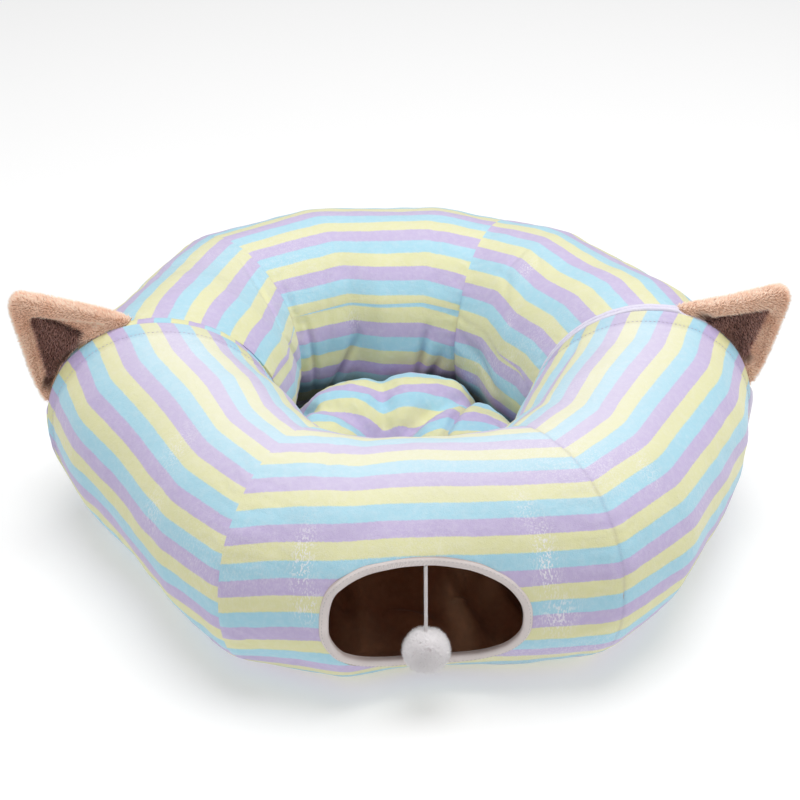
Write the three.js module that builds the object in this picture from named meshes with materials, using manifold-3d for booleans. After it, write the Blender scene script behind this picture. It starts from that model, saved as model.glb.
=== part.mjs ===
// Donut cat tunnel bed: a ring-shaped plush tunnel in six mitred cloth panels, with an oval mouth at
// the front, two cat ears, a round tufted cushion in the middle and a pompom hung in the mouth.
// Millimetres, +Z up. The origin is the middle of the ring on the floor, and the mouth faces -Y.
import * as THREE from "three";
import { mergeVertices } from "three/addons/utils/BufferGeometryUtils.js";
import Module from "manifold-3d";

const wasm = await Module();
wasm.setup();

// Cloth
const GAP = 0.3; // between two pieces that touch
const COVER = 3; // striped plush, pile included
const LINING = 2; // brown plush inside the front half

// The tunnel's cross-section is a soft, slightly squared oval that the floor flattens
const AROUND = 32; // points round one section
const FULLNESS = 2.08; // 2 is an ellipse, more is squarer
const BELLY = 0.48; // height of the widest point as a share of the top
const SINK = 5; // how far the floor flattens the underside

// One row for each section, at each seam, hoop and sag. angle: degrees from +X, seen from above.
// outer and inner: distances of the two walls from the middle of the ring. top: height of the crown.
const SECTIONS = [
  { angle: 180, outer: 397, inner: 140, top: 249 },
  { angle: 194, outer: 373, inner: 130, top: 246 },
  { angle: 210, outer: 349, inner: 122, top: 242 },
  { angle: 226, outer: 368, inner: 134, top: 239 },
  { angle: 241, outer: 392, inner: 146, top: 238 },
  { angle: 252, outer: 377, inner: 141, top: 234 },
  { angle: 258, outer: 379, inner: 137, top: 231 },
  { angle: 270, outer: 355, inner: 128, top: 226 },
  { angle: 279, outer: 360, inner: 134, top: 229 },
  { angle: 288, outer: 374, inner: 144, top: 234 },
  { angle: 300, outer: 401, inner: 158, top: 238 },
  { angle: 315, outer: 391, inner: 148, top: 240 },
  { angle: 330, outer: 376, inner: 131, top: 241 },
  { angle: 346, outer: 384, inner: 135, top: 244 },
  { angle: 360, outer: 394, inner: 149, top: 250 },
  { angle: 376, outer: 383, inner: 138, top: 247 },
  { angle: 393, outer: 371, inner: 132, top: 239 },
  { angle: 409, outer: 389, inner: 145, top: 236 },
  { angle: 425, outer: 397, inner: 164, top: 225 },
  { angle: 439, outer: 393, inner: 153, top: 234 },
  { angle: 457, outer: 383, inner: 144, top: 238 },
  { angle: 468, outer: 402, inner: 162, top: 236 },
  { angle: 490, outer: 416, inner: 180, top: 225 },
  { angle: 502, outer: 402, inner: 152, top: 236 },
  { angle: 515, outer: 368, inner: 132, top: 238 },
  { angle: 528, outer: 382, inner: 133, top: 245 },
  { angle: 540, outer: 397, inner: 140, top: 249 },
];

const FRONT_MIDDLE = SECTIONS.find((row) => row.angle === 270);

// Where the halves meet: a double welt between their ends, and a hem turned on the front half's ends
const WELT_WIDTH = 12;
const WELT_RISE = 4; // above the covers
const HEM_WIDTH = 21;
const HEM_RISE = 2;
const HEM_STEP = 2; // length over which the hem drops to the cloth

// The mouth in the front panel, seen from the front, and the tape that binds it
const MOUTH = { x: 6, z: 107.5, halfWidth: 103, halfHeight: 66.5, fullness: 2.3 };
const TAPE_RADIUS = 4;
const TAPE_STEPS = 44;

// The cord from the mouth's top edge and the pompom on its end
const CORD = { diameter: 4, drop: 74, lean: 13, steps: 8 };
const POMPOM = { core: 16.5, reach: 26, locks: 84, root: 2.5, tip: 1.3 };

// The ears, sewn on over the welts. Their bases run between two steps round the section, which are
// counted from its outer side. x and z: its tip, x away from the middle.
const EARS = {
  right: { row: 360, mirror: 1, fromStep: 1, toStep: 6, x: 427, z: 273 },
  left: { row: 180, mirror: -1, fromStep: 1, toStep: 7, x: 424, z: 285 },
};
const EAR = { round: 22, depth: 22, soft: 4 };
// The recess in an ear's front face keeps a margin to the ear's outline: its share above the base,
// its multiple below the tip, and the margin that shortens the base by one step at each end
const EAR_RECESS = { margin: 15, aboveBase: 0.35, belowTip: 1.9, perStep: 20, depth: 8 };
const EAR_INSIDE = { clear: 1, thickness: 5 };

// The cushion: rings from the middle of its top, over the rim, to the middle of its flat underside
const CUSHION = { x: -20, y: -5, radius: 164, press: 1, free: 2.2 };
const CUSHION_RINGS = [
  { reach: 0.1, height: 84 },
  { reach: 0.24, height: 99 },
  { reach: 0.42, height: 106 },
  { reach: 0.62, height: 104 },
  { reach: 0.8, height: 94 },
  { reach: 0.93, height: 78 },
  { reach: 1, height: 54 },
  { reach: 0.98, height: 24 },
  { reach: 0.9, height: 0 },
];
const RIM = CUSHION_RINGS.find((ring) => ring.reach === 1);
const TUFT_HEIGHT = 78; // of the sewn-down middle
// Creases that run out from the middle. depth: at the middle, fade: share of it lost at the rim.
const CREASES = [
  { angle: 38, depth: 24, fade: 0.25 },
  { angle: 90, depth: 22, fade: 0.85 },
  { angle: 142, depth: 18, fade: 0.5 },
  { angle: 210, depth: 20, fade: 0.6 },
  { angle: 270, depth: 20, fade: 0.7 },
  { angle: 330, depth: 20, fade: 0.5 },
];
const CREASE_WIDTH = 13;

const LILAC = 0xc9b6e2;
const LEMON = 0xebe7a6;
const AQUA = 0xa6e0f2;
const COLOURS = {
  welt: 0xe4dcf2,
  lining: 0x5a3826,
  tape: 0xe6dcd8,
  cord: 0xece8ea,
  pompom: 0xe9e5e6,
  earPlush: 0xc6957a,
  earInside: 0x5e4238,
};

const radians = THREE.MathUtils.degToRad;

function material(color) {
  return new THREE.MeshStandardMaterial({ color, roughness: 0.95, metalness: 0 });
}

// A superellipse's two shares at a turn: 1 at its ends, with the corners filled by fullness
function ovalShares(turn, fullness) {
  const share = (value) => Math.sign(value) * Math.abs(value) ** (2 / fullness);
  return { across: share(Math.cos(turn)), up: share(Math.sin(turn)) };
}

function sectionPoint(row, turn) {
  const { across, up } = ovalShares(turn, FULLNESS);
  const middle = (row.outer + row.inner) / 2;
  const half = (row.outer - row.inner) / 2;
  const belly = row.top * BELLY;
  const height = up > 0 ? (row.top - belly) * up : (belly + SINK) * up;
  return new THREE.Vector2(middle + half * across, belly + height);
}

// A point of the section moved square to its outline, inwards by inset, and kept off the floor
function wallPoint(row, turn, inset, floor) {
  const step = 0.02;
  const along = sectionPoint(row, turn + step).sub(sectionPoint(row, turn - step)).normalize();
  const point = sectionPoint(row, turn);
  point.x -= along.y * inset;
  point.y += along.x * inset;
  point.y = Math.max(point.y, floor);
  return point;
}

// A section's point in space: at the row's angle, and shifted along the tunnel
function place(row, point, shift) {
  const angle = radians(row.angle);
  return new THREE.Vector3(
    point.x * Math.cos(angle) - shift * Math.sin(angle),
    point.x * Math.sin(angle) + shift * Math.cos(angle),
    point.y,
  );
}

// A closed ring-like solid: pointAt(i, j) with i round the ring and j round its own profile. From
// profile step turnBack on, the profile runs back, and its facets fold the same way as going out.
function ringGeometry(ringSteps, profileSteps, pointAt, turnBack = profileSteps) {
  const positions = [];
  const index = [];
  for (let i = 0; i < ringSteps; i++) {
    for (let j = 0; j < profileSteps; j++) {
      positions.push(...pointAt(i, j).toArray());
      const nextI = (i + 1) % ringSteps;
      const nextJ = (j + 1) % profileSteps;
      const a = i * profileSteps + j;
      const b = nextI * profileSteps + j;
      const c = nextI * profileSteps + nextJ;
      const d = i * profileSteps + nextJ;
      if (j < turnBack) index.push(a, c, b, a, d, c);
      else index.push(a, d, b, d, c, b);
    }
  }
  const geometry = new THREE.BufferGeometry();
  geometry.setAttribute("position", new THREE.Float32BufferAttribute(positions, 3));
  geometry.setIndex(index);
  return geometry;
}

function toSolid(geometry) {
  const bare = new THREE.BufferGeometry();
  bare.setAttribute("position", geometry.getAttribute("position"));
  bare.setIndex(geometry.getIndex());
  const merged = mergeVertices(bare, 1e-3);
  const vertProperties = merged.getAttribute("position").array;
  const triVerts = new Uint32Array(merged.getIndex().array);
  return new wasm.Manifold(new wasm.Mesh({ numProp: 3, vertProperties, triVerts }));
}

function toGeometry(solid) {
  const mesh = solid.getMesh();
  const geometry = new THREE.BufferGeometry();
  geometry.setAttribute("position", new THREE.BufferAttribute(mesh.vertProperties, 3));
  geometry.setIndex(new THREE.BufferAttribute(mesh.triVerts, 1));
  return geometry;
}

// The section in the plane that lies shift beyond the end row, on straight cloth to the next row
function rowBeyond(end, next, shift) {
  const swing = radians(next.angle - end.angle);
  const slide = (from, to) => from + ((to * Math.cos(swing) - from) * shift) / (to * Math.sin(swing));
  const part = shift / (((next.outer + next.inner) / 2) * Math.sin(swing));
  return {
    angle: end.angle,
    outer: slide(end.outer, next.outer),
    inner: slide(end.inner, next.inner),
    top: end.top + (next.top - end.top) * part,
  };
}

// The rows of a panel from one seam to the next, each with its shift along the tunnel and its swell
function panelStations(from, to, hemmed) {
  const rows = SECTIONS.filter((row) => row.angle >= from && row.angle <= to);
  const stations = rows.map((row) => ({ row, shift: 0, swell: 0 }));
  const first = stations[0];
  const last = stations.at(-1);
  first.shift = GAP / 2;
  last.shift = -GAP / 2;
  const clearance = WELT_WIDTH / 2 + GAP;
  const hemEnd = clearance + HEM_WIDTH;
  const ends = [
    { end: first, next: stations[1], sign: 1 },
    { end: last, next: stations.at(-2), sign: -1 },
  ];
  for (const { end, next, sign } of ends) {
    if (end.row.angle % 180 !== 0) continue;
    const station = (distance, swell, outsideOnly) => {
      const shift = sign * distance;
      return { row: rowBeyond(end.row, next.row, shift), shift, swell, outsideOnly };
    };
    const made = [station(clearance, hemmed ? HEM_RISE : 0, false)];
    if (hemmed) made.push(station(hemEnd, HEM_RISE, true), station(hemEnd + HEM_STEP, 0, true));
    if (sign > 0) stations.splice(0, 1, ...made);
    else stations.splice(stations.length - 1, 1, ...made.reverse());
  }
  return stations;
}

// A hollow length of tunnel: its wall runs from inset to inset + thickness inside the sections
function tunnelGeometry(stations, inset, thickness) {
  const outside = stations.map((station) => ({ ...station, inset: inset - station.swell }));
  const within = stations.filter((station) => !station.outsideOnly);
  const inside = within.map((station) => ({ ...station, inset: inset + thickness }));
  const profile = [...outside, ...inside.reverse()];
  const pointAt = (i, j) => {
    const { row, shift, inset: depth } = profile[j];
    const turn = (2 * Math.PI * i) / AROUND;
    return place(row, wallPoint(row, turn, depth, Math.max(depth, 0)), shift);
  };
  return ringGeometry(AROUND, profile.length, pointAt, outside.length);
}

// The distance from the middle of the ring to a wall at an angle and height: side 1 is the outer wall
function wallRadius(angle, height, side) {
  const whole = SECTIONS[0].angle + ((((angle - SECTIONS[0].angle) % 360) + 360) % 360);
  const after = SECTIONS.findIndex((row, k) => k > 0 && row.angle >= whole);
  const pair = [SECTIONS[after - 1], SECTIONS[after]];
  const [near, far] = pair.map((row) => {
    const belly = row.top * BELLY;
    const rise = height > belly ? (height - belly) / (row.top - belly) : (belly - height) / (belly + SINK);
    const sine = Math.min(rise, 1) ** (FULLNESS / 2);
    const across = Math.sqrt(1 - sine * sine) ** (2 / FULLNESS);
    return (row.outer + row.inner) / 2 + ((side * (row.outer - row.inner)) / 2) * across;
  });
  const before = radians(whole - pair[0].angle);
  const beyond = radians(pair[1].angle - whole);
  return (near * far * Math.sin(before + beyond)) / (near * Math.sin(before) + far * Math.sin(beyond));
}

// How far forward the front wall's outer face stands at a place seen from the front
function frontWallY(x, z) {
  let y = -SECTIONS[0].outer;
  for (let pass = 0; pass < 6; pass++) {
    const radius = wallRadius(THREE.MathUtils.radToDeg(Math.atan2(y, x)), z, 1);
    y = -Math.sqrt(radius * radius - x * x);
  }
  return y;
}

function mouthPoint(turn, inset) {
  const { across, up } = ovalShares(turn, MOUTH.fullness);
  return new THREE.Vector2(
    MOUTH.x + (MOUTH.halfWidth - inset) * across,
    MOUTH.z + (MOUTH.halfHeight - inset) * up,
  );
}

// The block that cuts the mouth through the front wall only
function mouthCutter() {
  const outline = [];
  for (let k = 0; k < TAPE_STEPS; k++) outline.push(mouthPoint((2 * Math.PI * k) / TAPE_STEPS, -GAP));
  const depth = SECTIONS[0].outer - (FRONT_MIDDLE.outer + FRONT_MIDDLE.inner) / 2;
  const block = new THREE.ExtrudeGeometry(new THREE.Shape(outline), { depth, bevelEnabled: false });
  block.rotateX(Math.PI / 2);
  block.translate(0, depth - SECTIONS[0].outer, 0);
  return block;
}

function cutMouth(geometry) {
  return toGeometry(toSolid(geometry).subtract(toSolid(mouthCutter())));
}

// The tape's middle line, half way through the two layers of cloth that it binds
function tapeCentre(turn) {
  const flat = mouthPoint(turn, TAPE_RADIUS);
  return new THREE.Vector3(flat.x, frontWallY(flat.x, flat.y) + (COVER + LINING) / 2, flat.y);
}

function tapeGeometry() {
  const sides = 8;
  return ringGeometry(TAPE_STEPS, sides, (i, j) => {
    const turn = (2 * Math.PI * i) / TAPE_STEPS;
    const step = (2 * Math.PI) / TAPE_STEPS;
    const centre = tapeCentre(turn);
    const along = tapeCentre(turn + step).sub(tapeCentre(turn - step)).normalize();
    const outward = new THREE.Vector3(centre.x - MOUTH.x, 0, centre.z - MOUTH.z);
    outward.addScaledVector(along, -outward.dot(along)).normalize();
    const through = new THREE.Vector3().crossVectors(along, outward);
    const spin = (2 * Math.PI * j) / sides;
    return centre
      .addScaledVector(outward, TAPE_RADIUS * Math.cos(spin))
      .addScaledVector(through, TAPE_RADIUS * Math.sin(spin));
  });
}

// Two rolled edges side by side, all round the section
function weltGeometry(row) {
  const profile = [
    { inset: COVER, shift: 0.5 },
    { inset: 0, shift: 0.5 },
    { inset: -0.8 * WELT_RISE, shift: 0.43 },
    { inset: -WELT_RISE, shift: 0.25 },
    { inset: -0.75 * WELT_RISE, shift: 0 },
    { inset: -WELT_RISE, shift: -0.25 },
    { inset: -0.8 * WELT_RISE, shift: -0.43 },
    { inset: 0, shift: -0.5 },
    { inset: COVER, shift: -0.5 },
  ];
  return ringGeometry(AROUND, profile.length, (i, j) => {
    const { inset, shift } = profile[j];
    const floor = inset === COVER ? COVER : 1;
    return place(row, wallPoint(row, (2 * Math.PI * i) / AROUND, inset, floor), -shift * WELT_WIDTH);
  });
}

// An ear's outline seen from the front: a base on the welt, and a rounded tip
function earOutline(ear, margin) {
  const row = SECTIONS.find((section) => section.angle === ear.row);
  const base = [];
  const trim = margin / EAR_RECESS.perStep;
  for (let k = ear.fromStep; k <= ear.toStep; k++) {
    const step = THREE.MathUtils.clamp(k, ear.fromStep + trim, ear.toStep - trim);
    const turn = (2 * Math.PI * step) / AROUND;
    base.push(wallPoint(row, turn, -WELT_RISE - GAP - margin * EAR_RECESS.aboveBase, 0));
  }
  const middle = base[0].clone().add(base.at(-1)).multiplyScalar(0.5);
  const tip = new THREE.Vector2(ear.x, ear.z);
  tip.lerp(middle, (margin * EAR_RECESS.belowTip) / tip.distanceTo(middle));
  const round = margin > 0 ? EAR.round / 2 : EAR.round;
  const before = tip.clone().lerp(base[0], round / tip.distanceTo(base[0]));
  const after = tip.clone().lerp(base.at(-1), round / tip.distanceTo(base.at(-1)));
  const shape = new THREE.Shape(base.reverse());
  shape.lineTo(before.x, before.y);
  shape.quadraticCurveTo(tip.x, tip.y, after.x, after.y);
  shape.closePath();
  return shape;
}

// A slab of that outline whose front face stands at y and whose edges are rounded by soft
function earSlab(ear, margin, y, depth, soft) {
  const slab = new THREE.ExtrudeGeometry(earOutline(ear, margin), {
    depth: depth - 2 * soft,
    bevelEnabled: soft > 0,
    bevelSize: soft,
    bevelThickness: soft,
    bevelOffset: -soft,
    bevelSegments: 2,
    curveSegments: 5,
  });
  slab.rotateX(Math.PI / 2);
  return slab.translate(0, y + depth - soft, 0);
}

// The plush ear with a shallow recess in its front face, and the dark piece that lines the recess
function earPieces(ear) {
  const front = -WELT_WIDTH / 2;
  const bottom = front + EAR_RECESS.depth;
  const { clear, thickness } = EAR_INSIDE;
  const plush = toSolid(earSlab(ear, 0, front, EAR.depth, EAR.soft));
  const recess = earSlab(ear, EAR_RECESS.margin, front - clear, EAR_RECESS.depth + clear, 0);
  return {
    plush: toGeometry(plush.subtract(toSolid(recess))),
    inside: earSlab(ear, EAR_RECESS.margin + clear, bottom - GAP - thickness, thickness, 0),
  };
}

// The cushion's spokes stand where the tunnel's facets meet, and half way between
function spokeAngles() {
  return SECTIONS.slice(1).flatMap((row, k) => [(SECTIONS[k].angle + row.angle) / 2, row.angle]);
}

// The cushion's point on a ring and spoke, creased, and pressed in by the tunnel's inner wall
function cushionPoint(ring, spokeAngle) {
  const rimRadius = Math.min(CUSHION.radius, wallRadius(spokeAngle, RIM.height, -1) - CUSHION.press);
  const turned = radians(spokeAngle);
  const rim = new THREE.Vector2(Math.cos(turned), Math.sin(turned)).multiplyScalar(rimRadius);
  const middle = new THREE.Vector2(CUSHION.x, CUSHION.y);
  const out = rim.sub(middle).multiplyScalar(ring.reach);
  let height = ring.height;
  if (height > RIM.height) {
    for (const crease of CREASES) {
      const swing = out.angle() - radians(crease.angle);
      if (Math.cos(swing) < 0) continue;
      const aside = (out.length() * Math.sin(swing)) / CREASE_WIDTH;
      height -= crease.depth * (1 - crease.fade * ring.reach) * Math.exp(-aside * aside);
    }
    height = Math.max(height, TUFT_HEIGHT - 6);
  }
  const point = middle.add(out);
  const trimmed = Math.abs(point.y) < WELT_WIDTH / 2 + HEM_WIDTH + HEM_STEP ? WELT_RISE : 0;
  const clearance = trimmed + (ring === RIM ? CUSHION.press : CUSHION.free);
  const limit = wallRadius(THREE.MathUtils.radToDeg(point.angle()), height, -1) - clearance;
  point.clampLength(0, limit);
  return new THREE.Vector3(point.x, point.y, height);
}

function cushionGeometry() {
  const positions = [];
  const index = [];
  const angles = spokeAngles();
  const spokes = angles.length;
  for (const ring of CUSHION_RINGS) {
    for (const angle of angles) positions.push(...cushionPoint(ring, angle).toArray());
  }
  const top = positions.length / 3;
  positions.push(CUSHION.x, CUSHION.y, TUFT_HEIGHT);
  positions.push(CUSHION.x, CUSHION.y, 0);
  const lastRing = (CUSHION_RINGS.length - 1) * spokes;
  for (let k = 0; k < spokes; k++) {
    const next = (k + 1) % spokes;
    index.push(top, k, next);
    for (let start = 0; start < lastRing; start += spokes) {
      const below = start + spokes;
      index.push(start + k, below + k, below + next, start + k, below + next, start + next);
    }
    index.push(top + 1, lastRing + next, lastRing + k);
  }
  const geometry = new THREE.BufferGeometry();
  geometry.setAttribute("position", new THREE.Float32BufferAttribute(positions, 3));
  geometry.setIndex(index);
  return geometry;
}

// The cord hangs from under the front of the tape at the top of the mouth, and leans out over the lip
const cordTop = tapeCentre(Math.PI / 2).add(new THREE.Vector3(0, -TAPE_RADIUS * 0.75, -TAPE_RADIUS - GAP));
const cordBottom = cordTop.clone().add(new THREE.Vector3(0, -CORD.lean, -CORD.drop));
const cordWay = cordBottom.clone().sub(cordTop).normalize();
const pompomCentre = cordBottom.clone().addScaledVector(cordWay, POMPOM.core + GAP);

function cordGeometry() {
  const section = new THREE.Shape();
  section.absarc(0, 0, CORD.diameter / 2, 0, 2 * Math.PI);
  return new THREE.ExtrudeGeometry(section, {
    extrudePath: new THREE.LineCurve3(cordTop, cordBottom),
    steps: CORD.steps,
    curveSegments: 4,
  });
}

// A yarn core with locks that stand out from it, spread evenly by the golden angle. The cord's
// end goes straight to the core, so no lock stands in its way.
function pompomGeometry() {
  const goldenAngle = Math.PI * (3 - Math.sqrt(5));
  let solid = toSolid(new THREE.IcosahedronGeometry(POMPOM.core, 1));
  const length = POMPOM.reach - POMPOM.core + 2;
  for (let k = 0; k < POMPOM.locks; k++) {
    const rise = 1 - (2 * (k + 0.5)) / POMPOM.locks;
    const flat = Math.sqrt(1 - rise * rise);
    const out = new THREE.Vector3(flat * Math.cos(k * goldenAngle), flat * Math.sin(k * goldenAngle), rise);
    const beside = CORD.diameter / 2 + POMPOM.root + GAP;
    const aside = out.clone().cross(cordWay).length() * POMPOM.core;
    if (out.dot(cordWay) < 0 && aside < beside) continue;
    const lock = new THREE.CylinderGeometry(POMPOM.tip, POMPOM.root, length, 3);
    lock.translate(0, POMPOM.reach - length / 2, 0);
    lock.applyQuaternion(new THREE.Quaternion().setFromUnitVectors(new THREE.Vector3(0, 1, 0), out));
    solid = solid.add(toSolid(lock));
  }
  return toGeometry(solid).translate(pompomCentre.x, pompomCentre.y, pompomCentre.z);
}

const bed = new THREE.Group();

function addPiece(name, geometry, color) {
  const mesh = new THREE.Mesh(geometry, material(color));
  mesh.name = name;
  bed.add(mesh);
  return mesh;
}

const PANELS = [
  { name: "front_left", from: 180, to: 241, front: true, color: LILAC },
  { name: "front_middle", from: 241, to: 300, front: true, color: LEMON },
  { name: "front_right", from: 300, to: 360, front: true, color: AQUA },
  { name: "back_right", from: 360, to: 425, front: false, color: LILAC },
  { name: "back_middle", from: 425, to: 490, front: false, color: LEMON },
  { name: "back_left", from: 490, to: 540, front: false, color: AQUA },
];
for (const { name, from, to, front, color } of PANELS) {
  const pierced = name === "front_middle" ? cutMouth : (geometry) => geometry;
  const cover = tunnelGeometry(panelStations(from, to, front), 0, COVER);
  addPiece(name + "_cover", pierced(cover), color);
  if (!front) continue;
  const lining = tunnelGeometry(panelStations(from, to, false), COVER + GAP, LINING);
  addPiece(name + "_lining", pierced(lining), COLOURS.lining);
}

for (const [side, ear] of Object.entries(EARS)) {
  const row = SECTIONS.find((section) => section.angle === ear.row);
  addPiece("welt_" + side, weltGeometry(row), COLOURS.welt);
  const { plush, inside } = earPieces(ear);
  for (const [name, geometry, color] of [
    ["ear_" + side, plush, COLOURS.earPlush],
    ["ear_inside_" + side, inside, COLOURS.earInside],
  ]) {
    addPiece(name, geometry, color).scale.x = ear.mirror;
  }
}

addPiece("mouth_tape", tapeGeometry(), COLOURS.tape);
addPiece("cushion", cushionGeometry(), LEMON);
addPiece("pompom_cord", cordGeometry(), COLOURS.cord);
addPiece("pompom", pompomGeometry(), COLOURS.pompom);

export default bed;
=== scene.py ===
# %% [markdown]
# # A donut cat tunnel bed
# The bed is a ring of plush tunnel, sewn from six mitred lengths of striped cloth, with an oval mouth
# at the front, two cat ears, a tufted cushion in the middle and a pompom on a cord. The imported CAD
# model fixes every size, so this script only loads it and dresses it: each piece of cloth is made
# again as a fine mesh on the form of its solid, and gets the pile, stripes and stitches of the real one.

# %% Load the frame
import math

import bmesh
import bpy
import numpy as np
from mathutils import Matrix, Vector


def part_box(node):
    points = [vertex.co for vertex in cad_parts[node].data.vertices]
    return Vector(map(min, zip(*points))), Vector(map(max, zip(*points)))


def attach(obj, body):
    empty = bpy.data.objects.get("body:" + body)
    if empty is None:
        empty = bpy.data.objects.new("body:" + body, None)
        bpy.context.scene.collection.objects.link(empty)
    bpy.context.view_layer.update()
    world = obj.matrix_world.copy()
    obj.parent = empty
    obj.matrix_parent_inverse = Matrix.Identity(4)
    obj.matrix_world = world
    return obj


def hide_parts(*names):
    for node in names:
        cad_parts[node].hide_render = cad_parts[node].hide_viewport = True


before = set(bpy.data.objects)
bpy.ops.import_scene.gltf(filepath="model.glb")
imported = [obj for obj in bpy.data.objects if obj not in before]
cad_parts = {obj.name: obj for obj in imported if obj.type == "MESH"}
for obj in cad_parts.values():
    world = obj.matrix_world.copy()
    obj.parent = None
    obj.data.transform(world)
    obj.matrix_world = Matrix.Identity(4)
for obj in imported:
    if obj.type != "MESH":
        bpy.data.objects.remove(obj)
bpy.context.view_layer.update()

MM = 0.001
print("CAD nodes:", ", ".join(sorted(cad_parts)))

# %% [markdown]
# ## Camera and light
# The photo was taken from a little left of the middle, looking down at 33 degrees through a long
# lens. The camera is built from three directions, right, up and back, because that needs no target
# object. The picture's middle is not the lens axis, so the camera is shifted a little.

# %% Camera
EYE = {"elevation": 33.0, "yaw": -2.73, "distance": 2.0, "height": 0.1, "focal_px": 1759.0}
LENS_SHIFT = (-0.0031, 0.0373)
PICTURE_PX = 800
SENSOR_MM = 36.0


def make_camera():
    tilt, yaw = math.radians(EYE["elevation"]), math.radians(EYE["yaw"])
    right = Vector((math.cos(yaw), math.sin(yaw), 0))
    back = Vector((math.sin(yaw) * math.cos(tilt), -math.cos(yaw) * math.cos(tilt), math.sin(tilt)))
    turn = Matrix((right, back.cross(right), back)).transposed()
    camera = bpy.data.objects.new("camera", bpy.data.cameras.new("camera"))
    place = back * EYE["distance"] + Vector((0, 0, EYE["height"]))
    camera.matrix_world = Matrix.Translation(place) @ turn.to_4x4()
    camera.data.sensor_width = SENSOR_MM
    camera.data.lens = EYE["focal_px"] / PICTURE_PX * SENSOR_MM
    camera.data.shift_x, camera.data.shift_y = LENS_SHIFT
    bpy.context.scene.collection.objects.link(camera)
    bpy.context.scene.camera = camera
    return camera


camera = make_camera()
print("camera lens:", round(camera.data.lens, 1), "mm")

# %% [markdown]
# The studio is bright and almost shadowless: a white room, a large soft lamp over the bed and a
# smaller one on each side. The plain standard view transform keeps the pastel colours clean.

# %% Light
LAMPS = [
    {"name": "overhead", "place": (0.2, 0.1, 3.4), "size": 2.8, "watts": 98},
    {"name": "left", "place": (-2.3, -0.9, 1.3), "size": 1.2, "watts": 9},
    {"name": "right", "place": (2.3, -0.9, 1.3), "size": 1.2, "watts": 12},
]
ROOM_LIGHT = 0.23


def make_lamp(name, place, size, watts):
    light = bpy.data.lights.new(name, "AREA")
    light.shape, light.size, light.energy = "DISK", size, watts
    lamp = bpy.data.objects.new(name, light)
    lamp.location = place
    way = Vector((0, 0, EYE["height"])) - Vector(place)
    lamp.rotation_euler = way.to_track_quat("-Z", "Y").to_euler()
    bpy.context.scene.collection.objects.link(lamp)


for lamp in LAMPS:
    make_lamp(**lamp)
room = bpy.data.worlds.new("room")
room.use_nodes = True
room.node_tree.nodes["Background"].inputs["Color"].default_value = (1, 1, 1, 1)
room.node_tree.nodes["Background"].inputs["Strength"].default_value = ROOM_LIGHT
bpy.context.scene.world = room
bpy.context.scene.view_settings.view_transform = "Standard"
print("lamps:", len(LAMPS))

# %% [markdown]
# ## Arithmetic on nodes
# A finish is a small graph of nodes, and so is a field of fur. Wrapping a socket in a class that
# knows Python's operators lets the maths of a graph read as a formula. Every other node comes from
# one method, which sets the node first and then feeds its sockets.

# %% Values and graphs


class Value:
    """A socket that Python's operators can work on."""

    def __init__(self, graph, socket):
        self.graph, self.socket = graph, socket

    def math(self, operation, *values):
        return self.graph.node("ShaderNodeMath", {"operation": operation}, *values)

    def __add__(self, other):
        return self.math("ADD", self, other)

    __radd__ = __add__

    def __sub__(self, other):
        return self.math("SUBTRACT", self, other)

    def __rsub__(self, other):
        return self.math("SUBTRACT", other, self)

    def __mul__(self, other):
        return self.math("MULTIPLY", self, other)

    __rmul__ = __mul__

    def __truediv__(self, other):
        return self.math("DIVIDE", self, other)

    def cosine(self):
        return self.math("COSINE", self)

    def sine(self):
        return self.math("SINE", self)

    def part(self):
        return self.math("FRACT", self)

    def below(self, limit):
        """1 under the limit, 0 over it."""
        return self.math("LESS_THAN", self, limit)

    def between(self, low, high):
        """0 at low, 1 at high, smooth in between."""
        settings = {"interpolation_type": "SMOOTHSTEP"}
        return self.graph.node("ShaderNodeMapRange", settings, self, low, high)


class Graph:
    """A tree of nodes that is built by name."""

    def __init__(self, tree):
        self.tree = tree

    def feed(self, socket, value):
        if isinstance(value, Value):
            self.tree.links.new(value.socket, socket)
        elif value is not None:
            socket.default_value = value

    def node(self, kind, settings, *values, out=0, **named):
        made = self.tree.nodes.new(kind)
        for key, value in settings.items():
            if key == "stops":
                for place, color in value[2:]:
                    made.color_ramp.elements.new(place)
                for element, (place, color) in zip(made.color_ramp.elements, value):
                    element.position, element.color = place, (*color, 1)
            else:
                setattr(made, key, value)
        for k, value in enumerate(values):
            self.feed(made.inputs[k], value)
        for key, value in named.items():
            self.feed(made.inputs[key.replace("_", " ")], value)
        return Value(self, made.outputs[out])

    def vector(self, operation, *values, **named):
        return self.node("ShaderNodeVectorMath", {"operation": operation}, *values, **named)


print("graphs know these sums:", "+ - * /")

# %% Finish builder


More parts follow.
